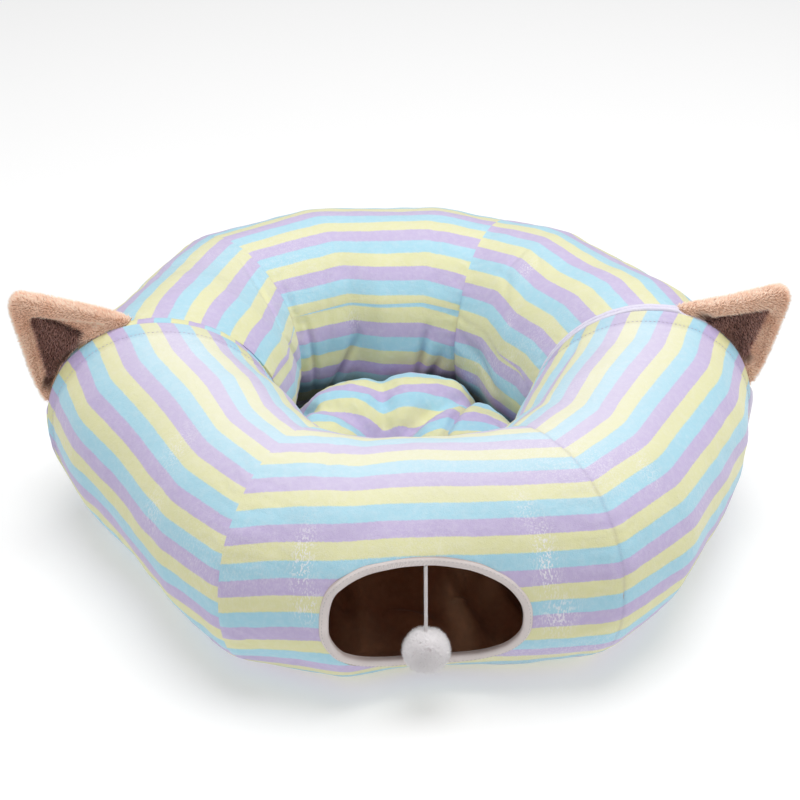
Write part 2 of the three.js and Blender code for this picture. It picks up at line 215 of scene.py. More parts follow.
class Finish(Graph):
    """A named material, with its shader's fixed numbers given as sockets' names and values."""

    def __init__(self, name, **fixed):
        self.material = bpy.data.materials.new(name)
        self.material.use_nodes = True
        super().__init__(self.material.node_tree)
        self.shader = self.tree.nodes["Principled BSDF"]
        for socket, value in fixed.items():
            self.shader.inputs[socket.replace("_", " ")].default_value = value

    def place(self):
        """Object coordinates."""
        return self.node("ShaderNodeTexCoord", {}, out="Object")

    def cloth(self, axis):
        """One axis of the piece's own cloth coordinates."""
        uv = self.node("ShaderNodeUVMap", {"uv_map": "cloth"})
        return self.node("ShaderNodeSeparateXYZ", {}, uv, out=axis)

    def mark(self, name):
        """A number that the mesh carries."""
        return self.node("ShaderNodeAttribute", {"attribute_name": name}, out="Fac")

    def stretched(self, x, y, z):
        return self.node("ShaderNodeMapping", {}, self.place(), Scale=(x, y, z))

    def grain(self, scale, detail, place=None):
        return self.node("ShaderNodeTexNoise", {}, place or self.place(), Scale=scale, Detail=detail)

    def mix(self, factor, first, second, blend="MIX"):
        made = self.tree.nodes.new("ShaderNodeMix")
        made.data_type, made.blend_type = "RGBA", blend
        for index, value in ((0, factor), (6, first), (7, second)):
            if isinstance(value, tuple):
                value = (*value, 1)
            self.feed(made.inputs[index], value)
        return Value(self, made.outputs[2])

    def bump(self, height, distance, strength):
        return self.node("ShaderNodeBump", {}, Height=height, Distance=distance, Strength=strength)

    def ends(self, **fed):
        """Feeds the shader's sockets, such as Base_Color, and gives the material."""
        for socket, value in fed.items():
            self.feed(self.shader.inputs[socket.replace("_", " ")], value)
        return self.material


# %% [markdown]
# ## Finishes
# The cover is short plush in three pastel stripes. The mesh carries cloth coordinates in which one
# repeat of lemon, aqua and lilac is one unit, so the stripes follow the cloth round every bend. Pile
# is never one flat colour: it lies in small clumps, and where it is rubbed its pale tips show, with a
# painted highlight for the light they catch. A painted highlight also lies on the crown, and painted
# shade lies in folds, along seams and hems and in the gap round the cushion.

# %% Striped plush
LEMON, AQUA, LILAC = (0.78, 0.77, 0.43), (0.40, 0.70, 0.83), (0.56, 0.47, 0.72)
PILE_TIP = (0.93, 0.92, 0.95)
SHADOW_TINT = (0.60, 0.55, 0.66)
GAP_SHADOW_TINT = (0.10, 0.13, 0.13)
STRIPE_EDGE = 0.012
# How strongly each mark that the mesh carries changes the colour of the pile: a painted highlight on
# the crown, rubbed pile with a painted highlight, and painted shade on the hem band, in folds and in
# the gap round the cushion
PILE_MARKS = {"pale": 0.34, "rubbed": 0.9, "hem": 0.4, "fold": 0.6, "deep": 0.85}


def stripe_stops():
    """Ramp stops of the three stripes, each with a soft edge."""
    third, soft = 1 / 3, STRIPE_EDGE
    return [
        (0, LEMON),
        (third - soft, LEMON),
        (third + soft, AQUA),
        (2 * third - soft, AQUA),
        (2 * third + soft, LILAC),
        (1 - soft, LILAC),
        (1, LEMON),
    ]


def plush_pile(finish, color, tips):
    """The colour and relief of short pile over a ground colour."""
    clumps, fine = finish.grain(170, 3), finish.grain(900, 2)
    streaks = finish.grain(620, 2, finish.stretched(1.0, 1.0, 0.35))
    color = finish.mix(clumps.between(0.35, 0.8) * 0.14, color, tips)
    # Painted highlight on the crown, where the lamp shines on it
    color = finish.mix(finish.mark("pale") * PILE_MARKS["pale"], color, tips)
    # Rubbed pile as pale streaks: partly the rubbed pile's own look, partly a painted highlight
    rubbed = finish.mark("rubbed") * streaks.between(0.5, 0.6)
    color = finish.mix(rubbed * PILE_MARKS["rubbed"], color, tips)
    # Painted shade on the hem band: its stripes are painted darker and deeper in colour
    color = finish.mix(finish.mark("hem") * PILE_MARKS["hem"], color, color, "MULTIPLY")
    # Painted shade in troughs, along seams and hem edges, and over the cushion
    color = finish.mix(finish.mark("fold") * PILE_MARKS["fold"], color, SHADOW_TINT, "MULTIPLY")
    # Painted shadow in the gap round the cushion and under its rim
    color = finish.mix(finish.mark("deep") * PILE_MARKS["deep"], color, GAP_SHADOW_TINT, "MULTIPLY")
    return color, finish.bump(clumps * 0.7 + fine * 0.5, 0.0014, 0.5)


def striped_plush():
    finish = Finish("striped_plush", Roughness=0.88, Sheen_Weight=0.35, Sheen_Roughness=0.45)
    wander = (finish.grain(45, 1) - 0.5) * 0.02 + (finish.grain(520, 1) - 0.5) * 0.03
    sewn_on = finish.mark("sewn").below(0.0) * finish.mark("slip")
    repeat = (finish.cloth("Y") + sewn_on + wander).part()
    color = finish.node("ShaderNodeValToRGB", {"stops": stripe_stops()}, repeat)
    color, relief = plush_pile(finish, color, PILE_TIP)
    return finish.ends(Base_Color=color, Normal=relief)


PLUSH = striped_plush()
print("finish:", PLUSH.name)

# %% Plain plushes and thread


def plain_plush(name, color, tips, pale=None, sheen=0.3):
    """pale: the colour of the painted highlight, where the mark of that name is one."""
    finish = Finish(name, Roughness=0.9, Sheen_Weight=sheen)
    clumps, fine = finish.grain(150, 3), finish.grain(700, 2)
    mixed = finish.mix(clumps.between(0.3, 0.75) * 0.3, color, tips)
    # Painted highlight where the mark pale is one
    mixed = finish.mix(finish.mark("pale"), mixed, pale or color)
    return finish.ends(Base_Color=mixed, Normal=finish.bump(clumps * 0.8 + fine * 0.4, 0.0012, 0.6))


WELT_PLUSH = plain_plush("welt_plush", (0.76, 0.72, 0.86), (0.92, 0.90, 0.96))
# LINING_SHINE: the colour of the lining's painted highlight
LINING_BROWN, LINING_TIP, LINING_SHINE = (0.46, 0.20, 0.10), (0.60, 0.32, 0.18), (1.0, 0.66, 0.42)
LINING_PLUSH = plain_plush("lining_plush", LINING_BROWN, LINING_TIP, LINING_SHINE)
CORD_YARN = plain_plush("braided_cord", (0.80, 0.76, 0.76), (0.93, 0.91, 0.91), sheen=0.1)
THREAD = Finish("thread", Roughness=0.6, Base_Color=(0.60, 0.54, 0.66, 1)).ends()
PALE_THREAD = Finish("pale_thread", Roughness=0.6, Base_Color=(0.60, 0.56, 0.56, 1)).ends()
print("plain finishes:", WELT_PLUSH.name, LINING_PLUSH.name, CORD_YARN.name)

# %% [markdown]
# Long fur is made of real locks, so its finish is simple. Each lock carries two numbers: how far up
# the lock a point lies, and a shade of its own, so the roots are painted dark, as painted shade deep in
# the fur, and no two locks are alike.

# %% Fur and twill


def locks_finish(name, root, body, tip, glow, sheen=0.25, patches=0.35):
    """glow: painted light, an emission of this share of their colour, that stands in for the light that
    locks pass on to each other.
    """
    finish = Finish(name, Roughness=0.85, Sheen_Weight=sheen, Emission_Strength=glow)
    up, shade = finish.mark("up"), finish.mark("shade")
    # Roots painted dark: painted shade deep in the fur
    color = finish.mix(up.between(0.0, 0.45), root, body)
    color = finish.mix((up * 0.7 + shade * 0.5).between(0.4, 1.05), color, tip)
    color = finish.mix(finish.grain(40, 2).between(0.4, 0.7) * patches, color, body, "MULTIPLY")
    color = finish.mix(finish.mark("dark"), color, DARK_FUR)
    return finish.ends(Base_Color=color, Emission_Color=color)


# Root, body and tip of the locks, and the skin in the hollow of an ear
EAR_COLORS = (0.52, 0.31, 0.20), (0.84, 0.58, 0.43), (0.96, 0.80, 0.67)
EAR_INSIDE_COLORS = (0.09, 0.03, 0.022), (0.30, 0.13, 0.10), (0.80, 0.48, 0.40)
YARN_COLORS = (0.80, 0.77, 0.78), (0.94, 0.91, 0.92), (0.98, 0.96, 0.97)
DARK_FUR = (0.11, 0.048, 0.033)
EAR_FUR = locks_finish("ear_plush", *EAR_COLORS, glow=0.23, sheen=0.3)
EAR_INSIDE_FUR = locks_finish("ear_lining", *EAR_INSIDE_COLORS, glow=0.06)
YARN = locks_finish("pompom_yarn", *YARN_COLORS, glow=0.12, sheen=0.1, patches=0.05)


def binding_tape():
    """Twill tape: fine slanting ribs across its width."""
    finish = Finish("binding_tape", Roughness=0.75, Sheen_Weight=0.1)
    ribs = (finish.cloth("X") * 700 + finish.cloth("Y") * 6).part()
    rise = (ribs - 0.5) * (0.5 - ribs)
    color = finish.mix(finish.grain(60, 2) * 0.6, (0.76, 0.68, 0.66), (0.90, 0.84, 0.82))
    # Painted shade along the tape's folded edges
    color = finish.mix(finish.mark("fold") * 0.7, color, (0.45, 0.36, 0.34), "MULTIPLY")
    relief = finish.bump(rise * 4 + finish.grain(1500, 1) * 0.5, 0.0005, 0.6)
    return finish.ends(Base_Color=color, Normal=relief)


TAPE = binding_tape()
print("fur finishes:", EAR_FUR.name, EAR_INSIDE_FUR.name, YARN.name)

# %% [markdown]
# ## Small helpers
# The forms below share four short functions: a table with named columns, a soft bell for seams and
# troughs, a value held between 0 and 1, and directions of length one.

# %% Helpers


def table(columns, *rows):
    """The rows as dictionaries, from one line of column names."""
    return [dict(zip(columns.split(), row)) for row in rows]


def bell(away, width):
    """1 in the middle and softly down to 0 on both sides."""
    return np.exp(-((away / width) ** 2))


def held(value):
    """The value kept between 0 and 1."""
    return np.clip(value, 0, 1)


def unit(vectors):
    """Each vector with a length of one."""
    return vectors / np.linalg.norm(vectors, axis=-1, keepdims=True)


print("a bell at its width:", round(float(bell(1.0, 1.0)), 2))

# %% [markdown]
# ## Sections of the tunnel
# The tunnel's form is given the way a maker would measure it: the outer and inner wall's distance
# from the middle and the height of the crown, at each seam, hoop and sag. Between two rows the cloth
# hangs straight. The measures are the solid's own, but for the rows from 490 to 515 degrees, which
# follow the photo's outline within 8 mm of it, and the front left seam, a degree away from it.

# %% Measures
# How square the section's round is, how high its widest place lies, as a share of the crown's height,
# and how far below the floor the round would end, in millimetres, if the floor didn't flatten it
FULLNESS, BELLY, SINK = 2.08, 0.48, 5
# Millimetres: the welt and the hem, the cover's thickness, and the room between two pieces
WELT_WIDTH, WELT_RISE = 12, 4
HEM_WIDTH, HEM_RISE = 21, 2
COVER, GAP = 3, 0.3
# Points round the section
AROUND = 216

SECTIONS = table(
    "angle outer inner top",
    (180, 397, 140, 249),
    (194, 373, 130, 246),
    (210, 349, 122, 242),
    (226, 368, 134, 239),
    (240, 392, 146, 238),
    (252, 377, 141, 234),
    (258, 379, 137, 231),
    (270, 355, 128, 226),
    (279, 360, 134, 229),
    (288, 374, 144, 234),
    (300, 401, 158, 238),
    (315, 391, 148, 240),
    (330, 376, 131, 241),
    (346, 384, 135, 244),
    (360, 394, 149, 250),
    (376, 383, 138, 247),
    (393, 371, 132, 239),
    (409, 389, 145, 236),
    (425, 397, 164, 225),
    (439, 393, 153, 234),
    (457, 383, 144, 238),
    (468, 402, 162, 236),
    (490, 424, 180, 225),
    (502, 395, 151, 230),
    (515, 372, 133, 242),
    (528, 382, 133, 245),
    (540, 397, 140, 249),
)
print("sections:", len(SECTIONS))

# %% Section geometry


def oval_shares(turn, fullness):
    """A superellipse's shares across and up at each turn."""
    c, s = np.cos(turn), np.sin(turn)
    return np.sign(c) * abs(c) ** (2 / fullness), np.sign(s) * abs(s) ** (2 / fullness)


def section_points(row, turn):
    across, up = oval_shares(turn, FULLNESS)
    middle, half = (row["outer"] + row["inner"]) / 2, (row["outer"] - row["inner"]) / 2
    belly = row["top"] * BELLY
    height = belly + np.where(up > 0, row["top"] - belly, belly + SINK) * up
    return np.stack([middle + half * across, height], -1)


def wall_points(row, turn, inset, floor=None):
    """Points of the section moved inwards, square to its outline, and kept off the floor."""
    step = 0.02
    along = unit(section_points(row, turn + step) - section_points(row, turn - step))
    inset = np.broadcast_to(inset, turn.shape)[..., None]
    points = section_points(row, turn) + np.stack([-along[..., 1], along[..., 0]], -1) * inset
    lowest = np.maximum(inset[..., 0], 0) if floor is None else floor
    points[..., 1] = np.maximum(points[..., 1], lowest)
    return points


def placed(row, points, shift):
    """Section points in space, in metres, at the row's angle."""
    angle = math.radians(row["angle"])
    x = points[..., 0] * math.cos(angle) - shift * math.sin(angle)
    y = points[..., 0] * math.sin(angle) + shift * math.cos(angle)
    return np.stack([x, y, points[..., 1]], -1) * MM


def row_beyond(end, following, shift):
    """The section in the plane that lies shift beyond the end row."""
    swing = math.radians(following["angle"] - end["angle"])
    made = {"angle": end["angle"]}
    for wall in ("outer", "inner"):
        ahead, aside = following[wall] * math.cos(swing) - end[wall], following[wall] * math.sin(swing)
        made[wall] = end[wall] + ahead * shift / aside
    part = shift / ((following["outer"] + following["inner"]) / 2 * math.sin(swing))
    made["top"] = end["top"] + (following["top"] - end["top"]) * part
    return made


# %% [markdown]
# ## Meshes from grids
# Every sheet here is a grid bent into a ring, so one helper turns a grid of points into a closed
# mesh with its cloth coordinates and marks. The turn runs from under the inner wall, up over the
# crown and down the outer wall, so the sheet's own join lies out of sight on the floor.

# %% Grid helper
START_TURN = math.radians(-125)
CROWN_TURN = math.radians(90 - 360)


def ring_turns(count=AROUND):
    return START_TURN - np.linspace(0, 2 * math.pi, count, endpoint=False)


def set_cloth(mesh, corners):
    """Cloth coordinates for each corner of each face."""
    layer = mesh.uv_layers.new(name="cloth")
    layer.uv.foreach_set("vector", corners.reshape(-1).astype(np.float32))


def set_mark(mesh, name, numbers):
    """A number for each point, which a finish can read."""
    mark = mesh.attributes.new(name, "FLOAT", "POINT")
    mark.data.foreach_set("value", numbers.reshape(-1).astype(np.float32))


def shade_smooth(mesh):
    mesh.polygons.foreach_set("use_smooth", np.ones(len(mesh.polygons), bool))


def grid_mesh(name, points, uv, material, marks, flat_rows=()):
    """points[profile][around], both closed. uv has one more column round, so the join has its own.

    A flat row starts faces with sharp edges, such as a sheet's cut edge, that don't shade the rest."""
    profile, around = points.shape[:2]
    j, i = np.meshgrid(np.arange(profile), np.arange(around), indexing="ij")
    next_j, next_i = (j + 1) % profile, (i + 1) % around
    near, far = j * around, next_j * around
    faces = np.stack([near + i, near + next_i, far + next_i, far + i], -1)
    mesh = bpy.data.meshes.new(name)
    mesh.from_pydata(points.reshape(-1, 3).tolist(), [], faces.reshape(-1, 4).tolist())
    corners = np.stack([uv[j, i], uv[j, i + 1], uv[next_j, i + 1], uv[next_j, i]], 2)
    set_cloth(mesh, corners)
    for mark, numbers in marks.items():
        set_mark(mesh, mark, numbers)
    smooth = np.ones((profile, around), bool)
    smooth[list(flat_rows)] = False
    mesh.polygons.foreach_set("use_smooth", smooth.reshape(-1))
    if flat_rows:
        rows = np.array([edge.vertices for edge in mesh.edges]) // around
        cut = {row % profile for flat in flat_rows for row in (flat, flat + 1)}
        sharp = (rows[:, 0] == rows[:, 1]) & np.isin(rows[:, 0], list(cut))
        mesh.attributes.new("sharp_edge", "BOOLEAN", "EDGE").data.foreach_set("value", sharp)
    mesh.materials.append(material)
    return new_piece(name, mesh)


def new_piece(name, mesh):
    piece = bpy.data.objects.new(name, mesh)
    bpy.context.scene.collection.objects.link(piece)
    return piece


def ripples(points, wavelength, count, seed, squeeze=(1, 1, 1)):
    """A smooth random height from -1 to 1: crossed waves of about one length."""
    chance = np.random.default_rng(seed)
    ways = unit(chance.normal(size=(count, 3)))
    lengths = wavelength * chance.uniform(0.7, 1.5, count)
    phases = chance.uniform(0, 2 * math.pi, count)
    waves = (points * np.array(squeeze)) @ (ways * (2 * math.pi / lengths[:, None])).T + phases
    return np.sin(waves).sum(-1) / math.sqrt(count * 2)


def apply_modifiers(piece):
    evaluated = piece.evaluated_get(bpy.context.evaluated_depsgraph_get())
    mesh = bpy.data.meshes.new_from_object(evaluated)
    piece.modifiers.clear()
    old, piece.data = piece.data, mesh
    mesh.name = piece.name
    bpy.data.meshes.remove(old)
    return piece


# %% [markdown]
# ## Growing small things
# Stitches, fur and yarn repeat thousands of times, so Geometry Nodes set them out: a tree takes a
# line or a surface, puts one small shape on each point, turns it the way it should lie and gives it
# a size of its own. The result is made a plain mesh, because what is only instanced isn't exported.

# %% Growth


class Growth(Graph):
    """A tree of Geometry Nodes with named inputs."""

    SOCKETS = {float: "NodeSocketFloat", int: "NodeSocketInt", Vector: "NodeSocketVector"}

    def __init__(self, name, **inputs):
        super().__init__(bpy.data.node_groups.new(name, "GeometryNodeTree"))
        face = self.tree.interface
        face.new_socket(name="Surface", in_out="INPUT", socket_type="NodeSocketGeometry")
        face.new_socket(name="Grown", in_out="OUTPUT", socket_type="NodeSocketGeometry")
        self.inputs = {}
        for label, value in inputs.items():
            socket = face.new_socket(name=label, in_out="INPUT", socket_type=self.SOCKETS[type(value)])
            self.inputs[socket.identifier] = value
        self.start = self.tree.nodes.new("NodeGroupInput")

    def given(self, label):
        return Value(self, self.start.outputs[label])

    def chance(self, low, high, seed):
        """A number that differs from point to point."""
        made = self.tree.nodes.new("FunctionNodeRandomValue")
        made.data_type = "FLOAT"
        for index, value in ((2, low), (3, high), (8, seed)):
            self.feed(made.inputs[index], value)
        return Value(self, made.outputs[1])

    def joined(self, x, y, z):
        return self.node("ShaderNodeCombineXYZ", {}, x, y, z)

    def marked(self, shape, name, value):
        return self.node("GeometryNodeStoreNamedAttribute", {}, shape, Name=name, Value=value)

    def on_points(self, points, shape, along, size):
        """The shape on every point, its Z laid along a direction."""
        turn = self.node("FunctionNodeAlignRotationToVector", {"axis": "Z"}, Vector=along)
        kind = "GeometryNodeInstanceOnPoints"
        return self.node(kind, {}, points, Instance=shape, Rotation=turn, Scale=size)

    def grown(self, source, name, result, finish):
        """What the tree grows on the source, as a plain piece of its own."""
        end = self.tree.nodes.new("NodeGroupOutput")
        real = self.node("GeometryNodeRealizeInstances", {}, result)
        done = self.node("GeometryNodeSetMaterial", {}, real, Material=finish)
        self.feed(end.inputs["Grown"], done)
        modifier = source.modifiers.new(name, "NODES")
        modifier.node_group = self.tree
        for identifier, value in self.inputs.items():
            modifier[identifier] = value
        evaluated = source.evaluated_get(bpy.context.evaluated_depsgraph_get())
        mesh = bpy.data.meshes.new_from_object(evaluated)
        source.modifiers.remove(modifier)
        mesh.name = name
        shade_smooth(mesh)
        print(name, len(mesh.polygons), "faces grown")
        return new_piece(name, mesh)


# %% Stitches and fur


def line_mesh(name, points, closed=True):
    count = len(points)
    edges = [(k, (k + 1) % count) for k in range(count if closed else count - 1)]
    mesh = bpy.data.meshes.new(name)
    mesh.from_pydata([tuple(p) for p in points], edges, [])
    return new_piece(name, mesh)


def stitches(name, points, finish, length, gap, width):
    """A row of thread stitches along a closed line."""
    growth = Growth("stitches", Length=length, Gap=gap, Width=width, Seed=7)
    long, gap, wide = (growth.given(label) for label in ("Length", "Gap", "Width"))
    line = growth.node("GeometryNodeMeshToCurve", {}, growth.given("Surface"))
    points_on = growth.node("GeometryNodeCurveToPoints", {"mode": "LENGTH"}, line, Length=long + gap)
    tangent = Value(growth, points_on.socket.node.outputs["Tangent"])
    bead = growth.node("GeometryNodeMeshUVSphere", {}, Segments=6, Rings=5, Radius=0.5)
    size = growth.joined(wide, wide, long * growth.chance(0.85, 1.1, growth.given("Seed")))
    path = line_mesh(name + "_line", points)
    piece = growth.grown(path, name, growth.on_points(points_on, bead, tangent, size), finish)
    bpy.data.objects.remove(path)
    return piece


def fur(name, surface, finish, length, width, density, comb, lean, seed, stray=0.35):
    """Tapered locks of fur, combed one way, on a surface."""
    sizes = {"Length": length, "Width": width, "Density": density}
    growth = Growth("fur", **sizes, Comb=Vector(comb), Lean=lean, Seed=seed)
    seed = growth.given("Seed")
    ground, density = growth.given("Surface"), growth.given("Density")
    spread = growth.node("GeometryNodeDistributePointsOnFaces", {}, ground, Density=density, Seed=seed)
    normal = Value(growth, spread.socket.node.outputs["Normal"])
    aside = growth.joined(*(growth.chance(-stray, stray, k) for k in (11, 12, 13)))
    combed = growth.vector("SCALE", growth.given("Comb"), Scale=growth.given("Lean"))
    along = growth.vector("ADD", growth.vector("ADD", normal, combed), aside)
    lock = growth.node("GeometryNodeMeshCone", {}, Vertices=3, Radius_Top=0.0, Radius_Bottom=0.5, Depth=1.0)
    place = growth.node("GeometryNodeInputPosition", {})
    lock = growth.marked(lock, "up", growth.node("ShaderNodeSeparateXYZ", {}, place, out="Z"))
    points = growth.marked(spread, "shade", growth.chance(0.0, 1.0, 14))
    wide = growth.given("Width") * growth.chance(0.7, 1.3, 15)
    size = growth.joined(wide, wide, growth.given("Length") * growth.chance(0.65, 1.15, 16))
    return growth.grown(surface, name, growth.on_points(points, lock, along, size), finish)


# %% [markdown]
# ## Tunnel covers
# A panel is grown from its rows: rings of points every few millimetres, straight between the rows
# as stretched cloth is, then eased over each hoop, pulled in at the seams and puckered along them.
# Its stripes are printed on the cloth, so they lean and bow with the way each panel was cut: t counts
# stripes from the crown, and the lay says how far t slides towards the panel's ends. Low on the
# inner wall a second length of cloth is sewn on, where the stripes jump by the lay's shift.

# %% Panels
PANELS = table(
    "name start end front",
    ("front_left", 180, 240, True),
    ("front_middle", 240, 300, True),
    ("front_right", 300, 360, True),
    ("back_right", 360, 425, False),
    ("back_middle", 425, 490, False),
    ("back_left", 490, 540, False),
)
# Millimetres on the cloth. skew, bow and curl: the slide at a panel's end that grows with the
# distance from its middle, its square and its cube. twist and swell: the slide 100 mm down the wall.
# seam and rise: where the sewn-on length starts, below the crown, and how far that line climbs.
LAY_ROWS = table(
    "panel stripe phase skew bow curl twist swell seam rise shift",
    ("front_left", 17.3, 45, -10, -1, 3, 6, -2, -140, 0, 10),
    ("front_middle", 17.4, 9, -5, -22, 8, 3, 0, -140, 0, 10),
    ("front_right", 16.7, 33, -12, -6, 3, -5.5, -2, -74, 2, -19),
    ("back_right", 18, 48, -8, 0, 3, 5, -1, -155, 22, 7),
    ("back_middle", 18, 28, 3, 0, -2, 3, 0, -128.5, -1, 14),
    ("back_left", 18.6, 36, 3, 6, 2, -1, -3.5, -147, -8, 21),
)
LAYS = {lay["panel"]: lay for lay in LAY_ROWS}
print("panels:", ", ".join(panel["name"] for panel in PANELS))

# %% Seams, troughs and rubbed places
# Millimetres from ring to ring, and how far a hoop's bend is spread along the tunnel
STEP, EASE = 3.6, 9.0
PUCKER = {"height": 0.7, "length": 15.0, "reach": 22.0}
# Close to a seam there is neither trough nor pucker
SEAM_CALM = 5
# Every seam: how far its pull reaches, how wide its line of painted shade is, how soon it grows to the full
SEAM_REACH, SEAM_LINE, SEAM_GROWTH = 4.5, 1.7, 40
# Loose waves of the stretched cloth: height, length and seed
WAVES = ((1.4, 0.09, 72), (0.6, 0.035, 73))
# Painted shade in a trough: it starts at this depth, and darkens by this share for each millimetre more
FOLD_FROM, FOLD_SHADE = 1.2, 0.26
# A trough is shallower at its ends, and the cloth stands up on both sides of it
TROUGH_END = 0.35
BRIM = {"height": 0.35, "width": 2.2}
# Painted highlight: the crown is painted pale where the lamp shines on it, with this middle, reach
# and strength at the front and back
PALE = {"down": -15, "reach": 75, "front": 1.0, "back": 0.3}
# Painted shadow in the gap between the cushion and the inner wall: from this height down, over this
# distance, with an uneven edge, and only on the inner wall, this far from the crown
WELL_SHADE = {"from": 99.0, "fade": 30.0, "uneven": 9.0, "inside": -110}
# How deep a seam is pulled in, how dark its line of painted shade is, how much of both is left over
# the crown, and how far down the inner wall they start to grow to the full
SEAM_ROWS = table(
    "angle depth shade crown from",
    (240, 0.2, 0.0, 1.0, 0),
    (300, 0.7, 0.6, 1.0, 0),
    (425, 2.4, 0.8, 0.0, 85),
    (490, 1.6, 0.4, 0.3, 40),
)
SEAMS = {seam["angle"]: seam for seam in SEAM_ROWS}
HEM_STEP = 2
# A hem holds the cloth calmer, and its edge, like the line where the inner wall's length is sewn on,
# is a fine crease with a line of painted shade
HEM_LINE = {"calm": 0.6, "depth": 0.7, "shade": 0.5, "width": 1.8}
SEWN_LINE = {"shade": 0.4, "width": 2.6}
# Below this height, in millimetres, the cloth is pressed flatter and flatter against the floor
RESTING = 8
# Soft troughs, from one place on the cloth to another: along is -1 at the panel's start and 1 at
# its end, down is the distance from the crown in millimetres, negative on the inner wall.
TROUGHS = table(
    "panel along down to_along to_down depth width",
    ("back_left", -0.80, -30, -0.30, -125, 3.4, 6),
    ("back_left", -0.30, -125, -0.85, -190, 3.0, 7),
    ("back_middle", 0.26, -168, 0.60, -240, 8.0, 8),
    ("back_middle", -0.66, -160, -0.48, -240, 8.0, 9),
    ("back_middle", -0.84, -190, -0.60, -240, 9.0, 9),
    ("back_middle", 0.86, -140, 0.80, -235, 6.0, 7),
    ("back_middle", 0.93, -75, 0.98, -150, 3.0, 8),
    ("back_middle", 0.42, -35, 0.66, -190, 2.2, 9),
    ("back_middle", -0.60, 5, -0.66, -100, 1.6, 8),
    ("back_right", 0.99, -158, -0.42, -213, 4.5, 9),
    ("back_right", 0.55, -60, 0.20, -110, 1.4, 9),
    ("back_right", -0.10, -20, 0.15, -100, 1.6, 11),
    ("back_right", 0.50, -28, 0.52, -66, 2.4, 5),
    ("back_right", 0.70, -70, 0.44, -76, 2.0, 5),
    ("back_right", 0.38, -24, 0.20, -38, 1.8, 5),
    ("front_middle", -0.60, -24, -0.57, 44, 2.4, 6),
    ("front_middle", -0.80, 40, -0.62, 175, 2.0, 11),
    ("front_middle", 0.58, 60, 0.66, 200, 2.0, 11),
    ("front_middle", -0.20, 128, 0.20, 120, 1.4, 8),
    ("front_left", 0.36, 60, 0.42, 170, 1.8, 12),
    ("front_right", -0.62, 60, -0.50, 170, 1.8, 12),
    ("front_right", 0.10, 150, 0.60, 210, 2.0, 12),
    ("front_left", -0.50, 170, 0.05, 230, 2.0, 12),
)
# Places where the pile is rubbed up and shows its pale tips, painted paler still as a painted
# highlight where the tips catch the light. wide and high: the reach in millimetres along and down the
# cloth.
RUBBED_AND_HIGHLIGHT = table(
    "panel along down wide high strength",
    ("front_middle", -0.59, 122, 8, 34, 1.0),
    ("front_middle", -0.55, 165, 11, 20, 0.8),
    ("front_middle", 0.62, 128, 8, 42, 1.0),
    ("front_middle", 0.67, 192, 12, 26, 0.8),
    ("front_middle", 0.57, 75, 9, 22, 0.5),
    ("front_left", 0.34, 72, 14, 26, 0.5),
    ("front_left", 0.38, 140, 12, 24, 0.5),
    ("front_right", -0.60, 77, 10, 30, 0.5),
    ("back_right", 0.30, -50, 14, 16, 0.6),
    ("back_right", 0.02, -110, 12, 18, 0.5),
    ("back_middle", 0.30, -150, 14, 14, 0.5),
)
print("troughs:", len(TROUGHS), "rubbed places:", len(RUBBED_AND_HIGHLIGHT))

# %% Rings of a panel


def panel_rings(panel, inset=0.0):
    """Coarse rings of a panel: one at each seam, hoop and sag, and those of a hem."""
    rows = [row for row in SECTIONS if panel["start"] <= row["angle"] <= panel["end"]]
    stations = [(row, 0.0, 0.0) for row in rows]
    clearance = WELT_WIDTH / 2 + GAP
    hem_end = clearance + HEM_WIDTH
    for at, near, sign in ((0, 1, 1), (-1, -2, -1)):
        if rows[at]["angle"] % 180:
            continue
        lengths = [(clearance, 0)]
        if panel["front"]:
            lengths = [(clearance, HEM_RISE), (hem_end, HEM_RISE), (hem_end + HEM_STEP, 0)]
        made = [(row_beyond(rows[at], rows[near], sign * d), sign * d, swell) for d, swell in lengths]
        stations[at : at + 1 or None] = made if sign > 0 else made[::-1]
    turn = ring_turns()
    rings = [placed(row, wall_points(row, turn, inset - swell), shift) for row, shift, swell in stations]
    return np.array(rings)


def crown_arcs(rings):
    """Each ring's arc length from the crown, negative down the inner wall."""
    closed = np.concatenate([rings, rings[:, :1]], 1)
    arcs = np.cumsum(np.linalg.norm(np.diff(closed, axis=1), axis=2), 1)
    arcs = np.concatenate([np.zeros((len(rings), 1)), arcs], 1)
    crown = (START_TURN - CROWN_TURN) / (2 * math.pi) * rings.shape[1]
    k, part = int(crown), crown % 1
    return arcs - (arcs[:, k : k + 1] * (1 - part) + arcs[:, k + 1 : k + 2] * part)


def ring_counts(rings):
    """How many steps to take from each coarse ring to the next."""
    spans = np.linalg.norm(np.diff(rings, axis=0), axis=2).max(1) / MM
    return np.maximum(1, np.round(spans / STEP)).astype(int)


def refined(rings, counts):
    """The rings with steps put in between, straight from one coarse ring to the next."""
    fine = [
        rings[k] + (rings[k + 1] - rings[k]) * f
        for k, count in enumerate(counts)
        for f in np.arange(count) / count
    ]
    return np.array([*fine, rings[-1]])


def eased(points, reach):
    """The points smoothed along the tunnel, less and less towards the two ends."""
    ahead = np.linalg.norm(np.diff(points, axis=0), axis=2).mean(1)
    along = np.r_[0, np.cumsum(ahead)] / MM
    out = np.empty_like(points)
    for k, here in enumerate(along):
        to_end = min(here, along[-1] - here)
        width = max(min(reach, to_end / 2.5), 0.01)
        weight = bell(along - here, width)
        out[k] = np.tensordot(weight / weight.sum(), points, 1)
    return out, along


def outward(points):
    """Unit normals of a grid that is closed round the section."""
    along = np.gradient(points, axis=0)
    around = np.roll(points, -1, 1) - np.roll(points, 1, 1)
    normal = unit(np.cross(along, around))
    centre = points.mean(1, keepdims=True)
    return normal * np.sign((normal * (points - centre)).sum(2).mean())


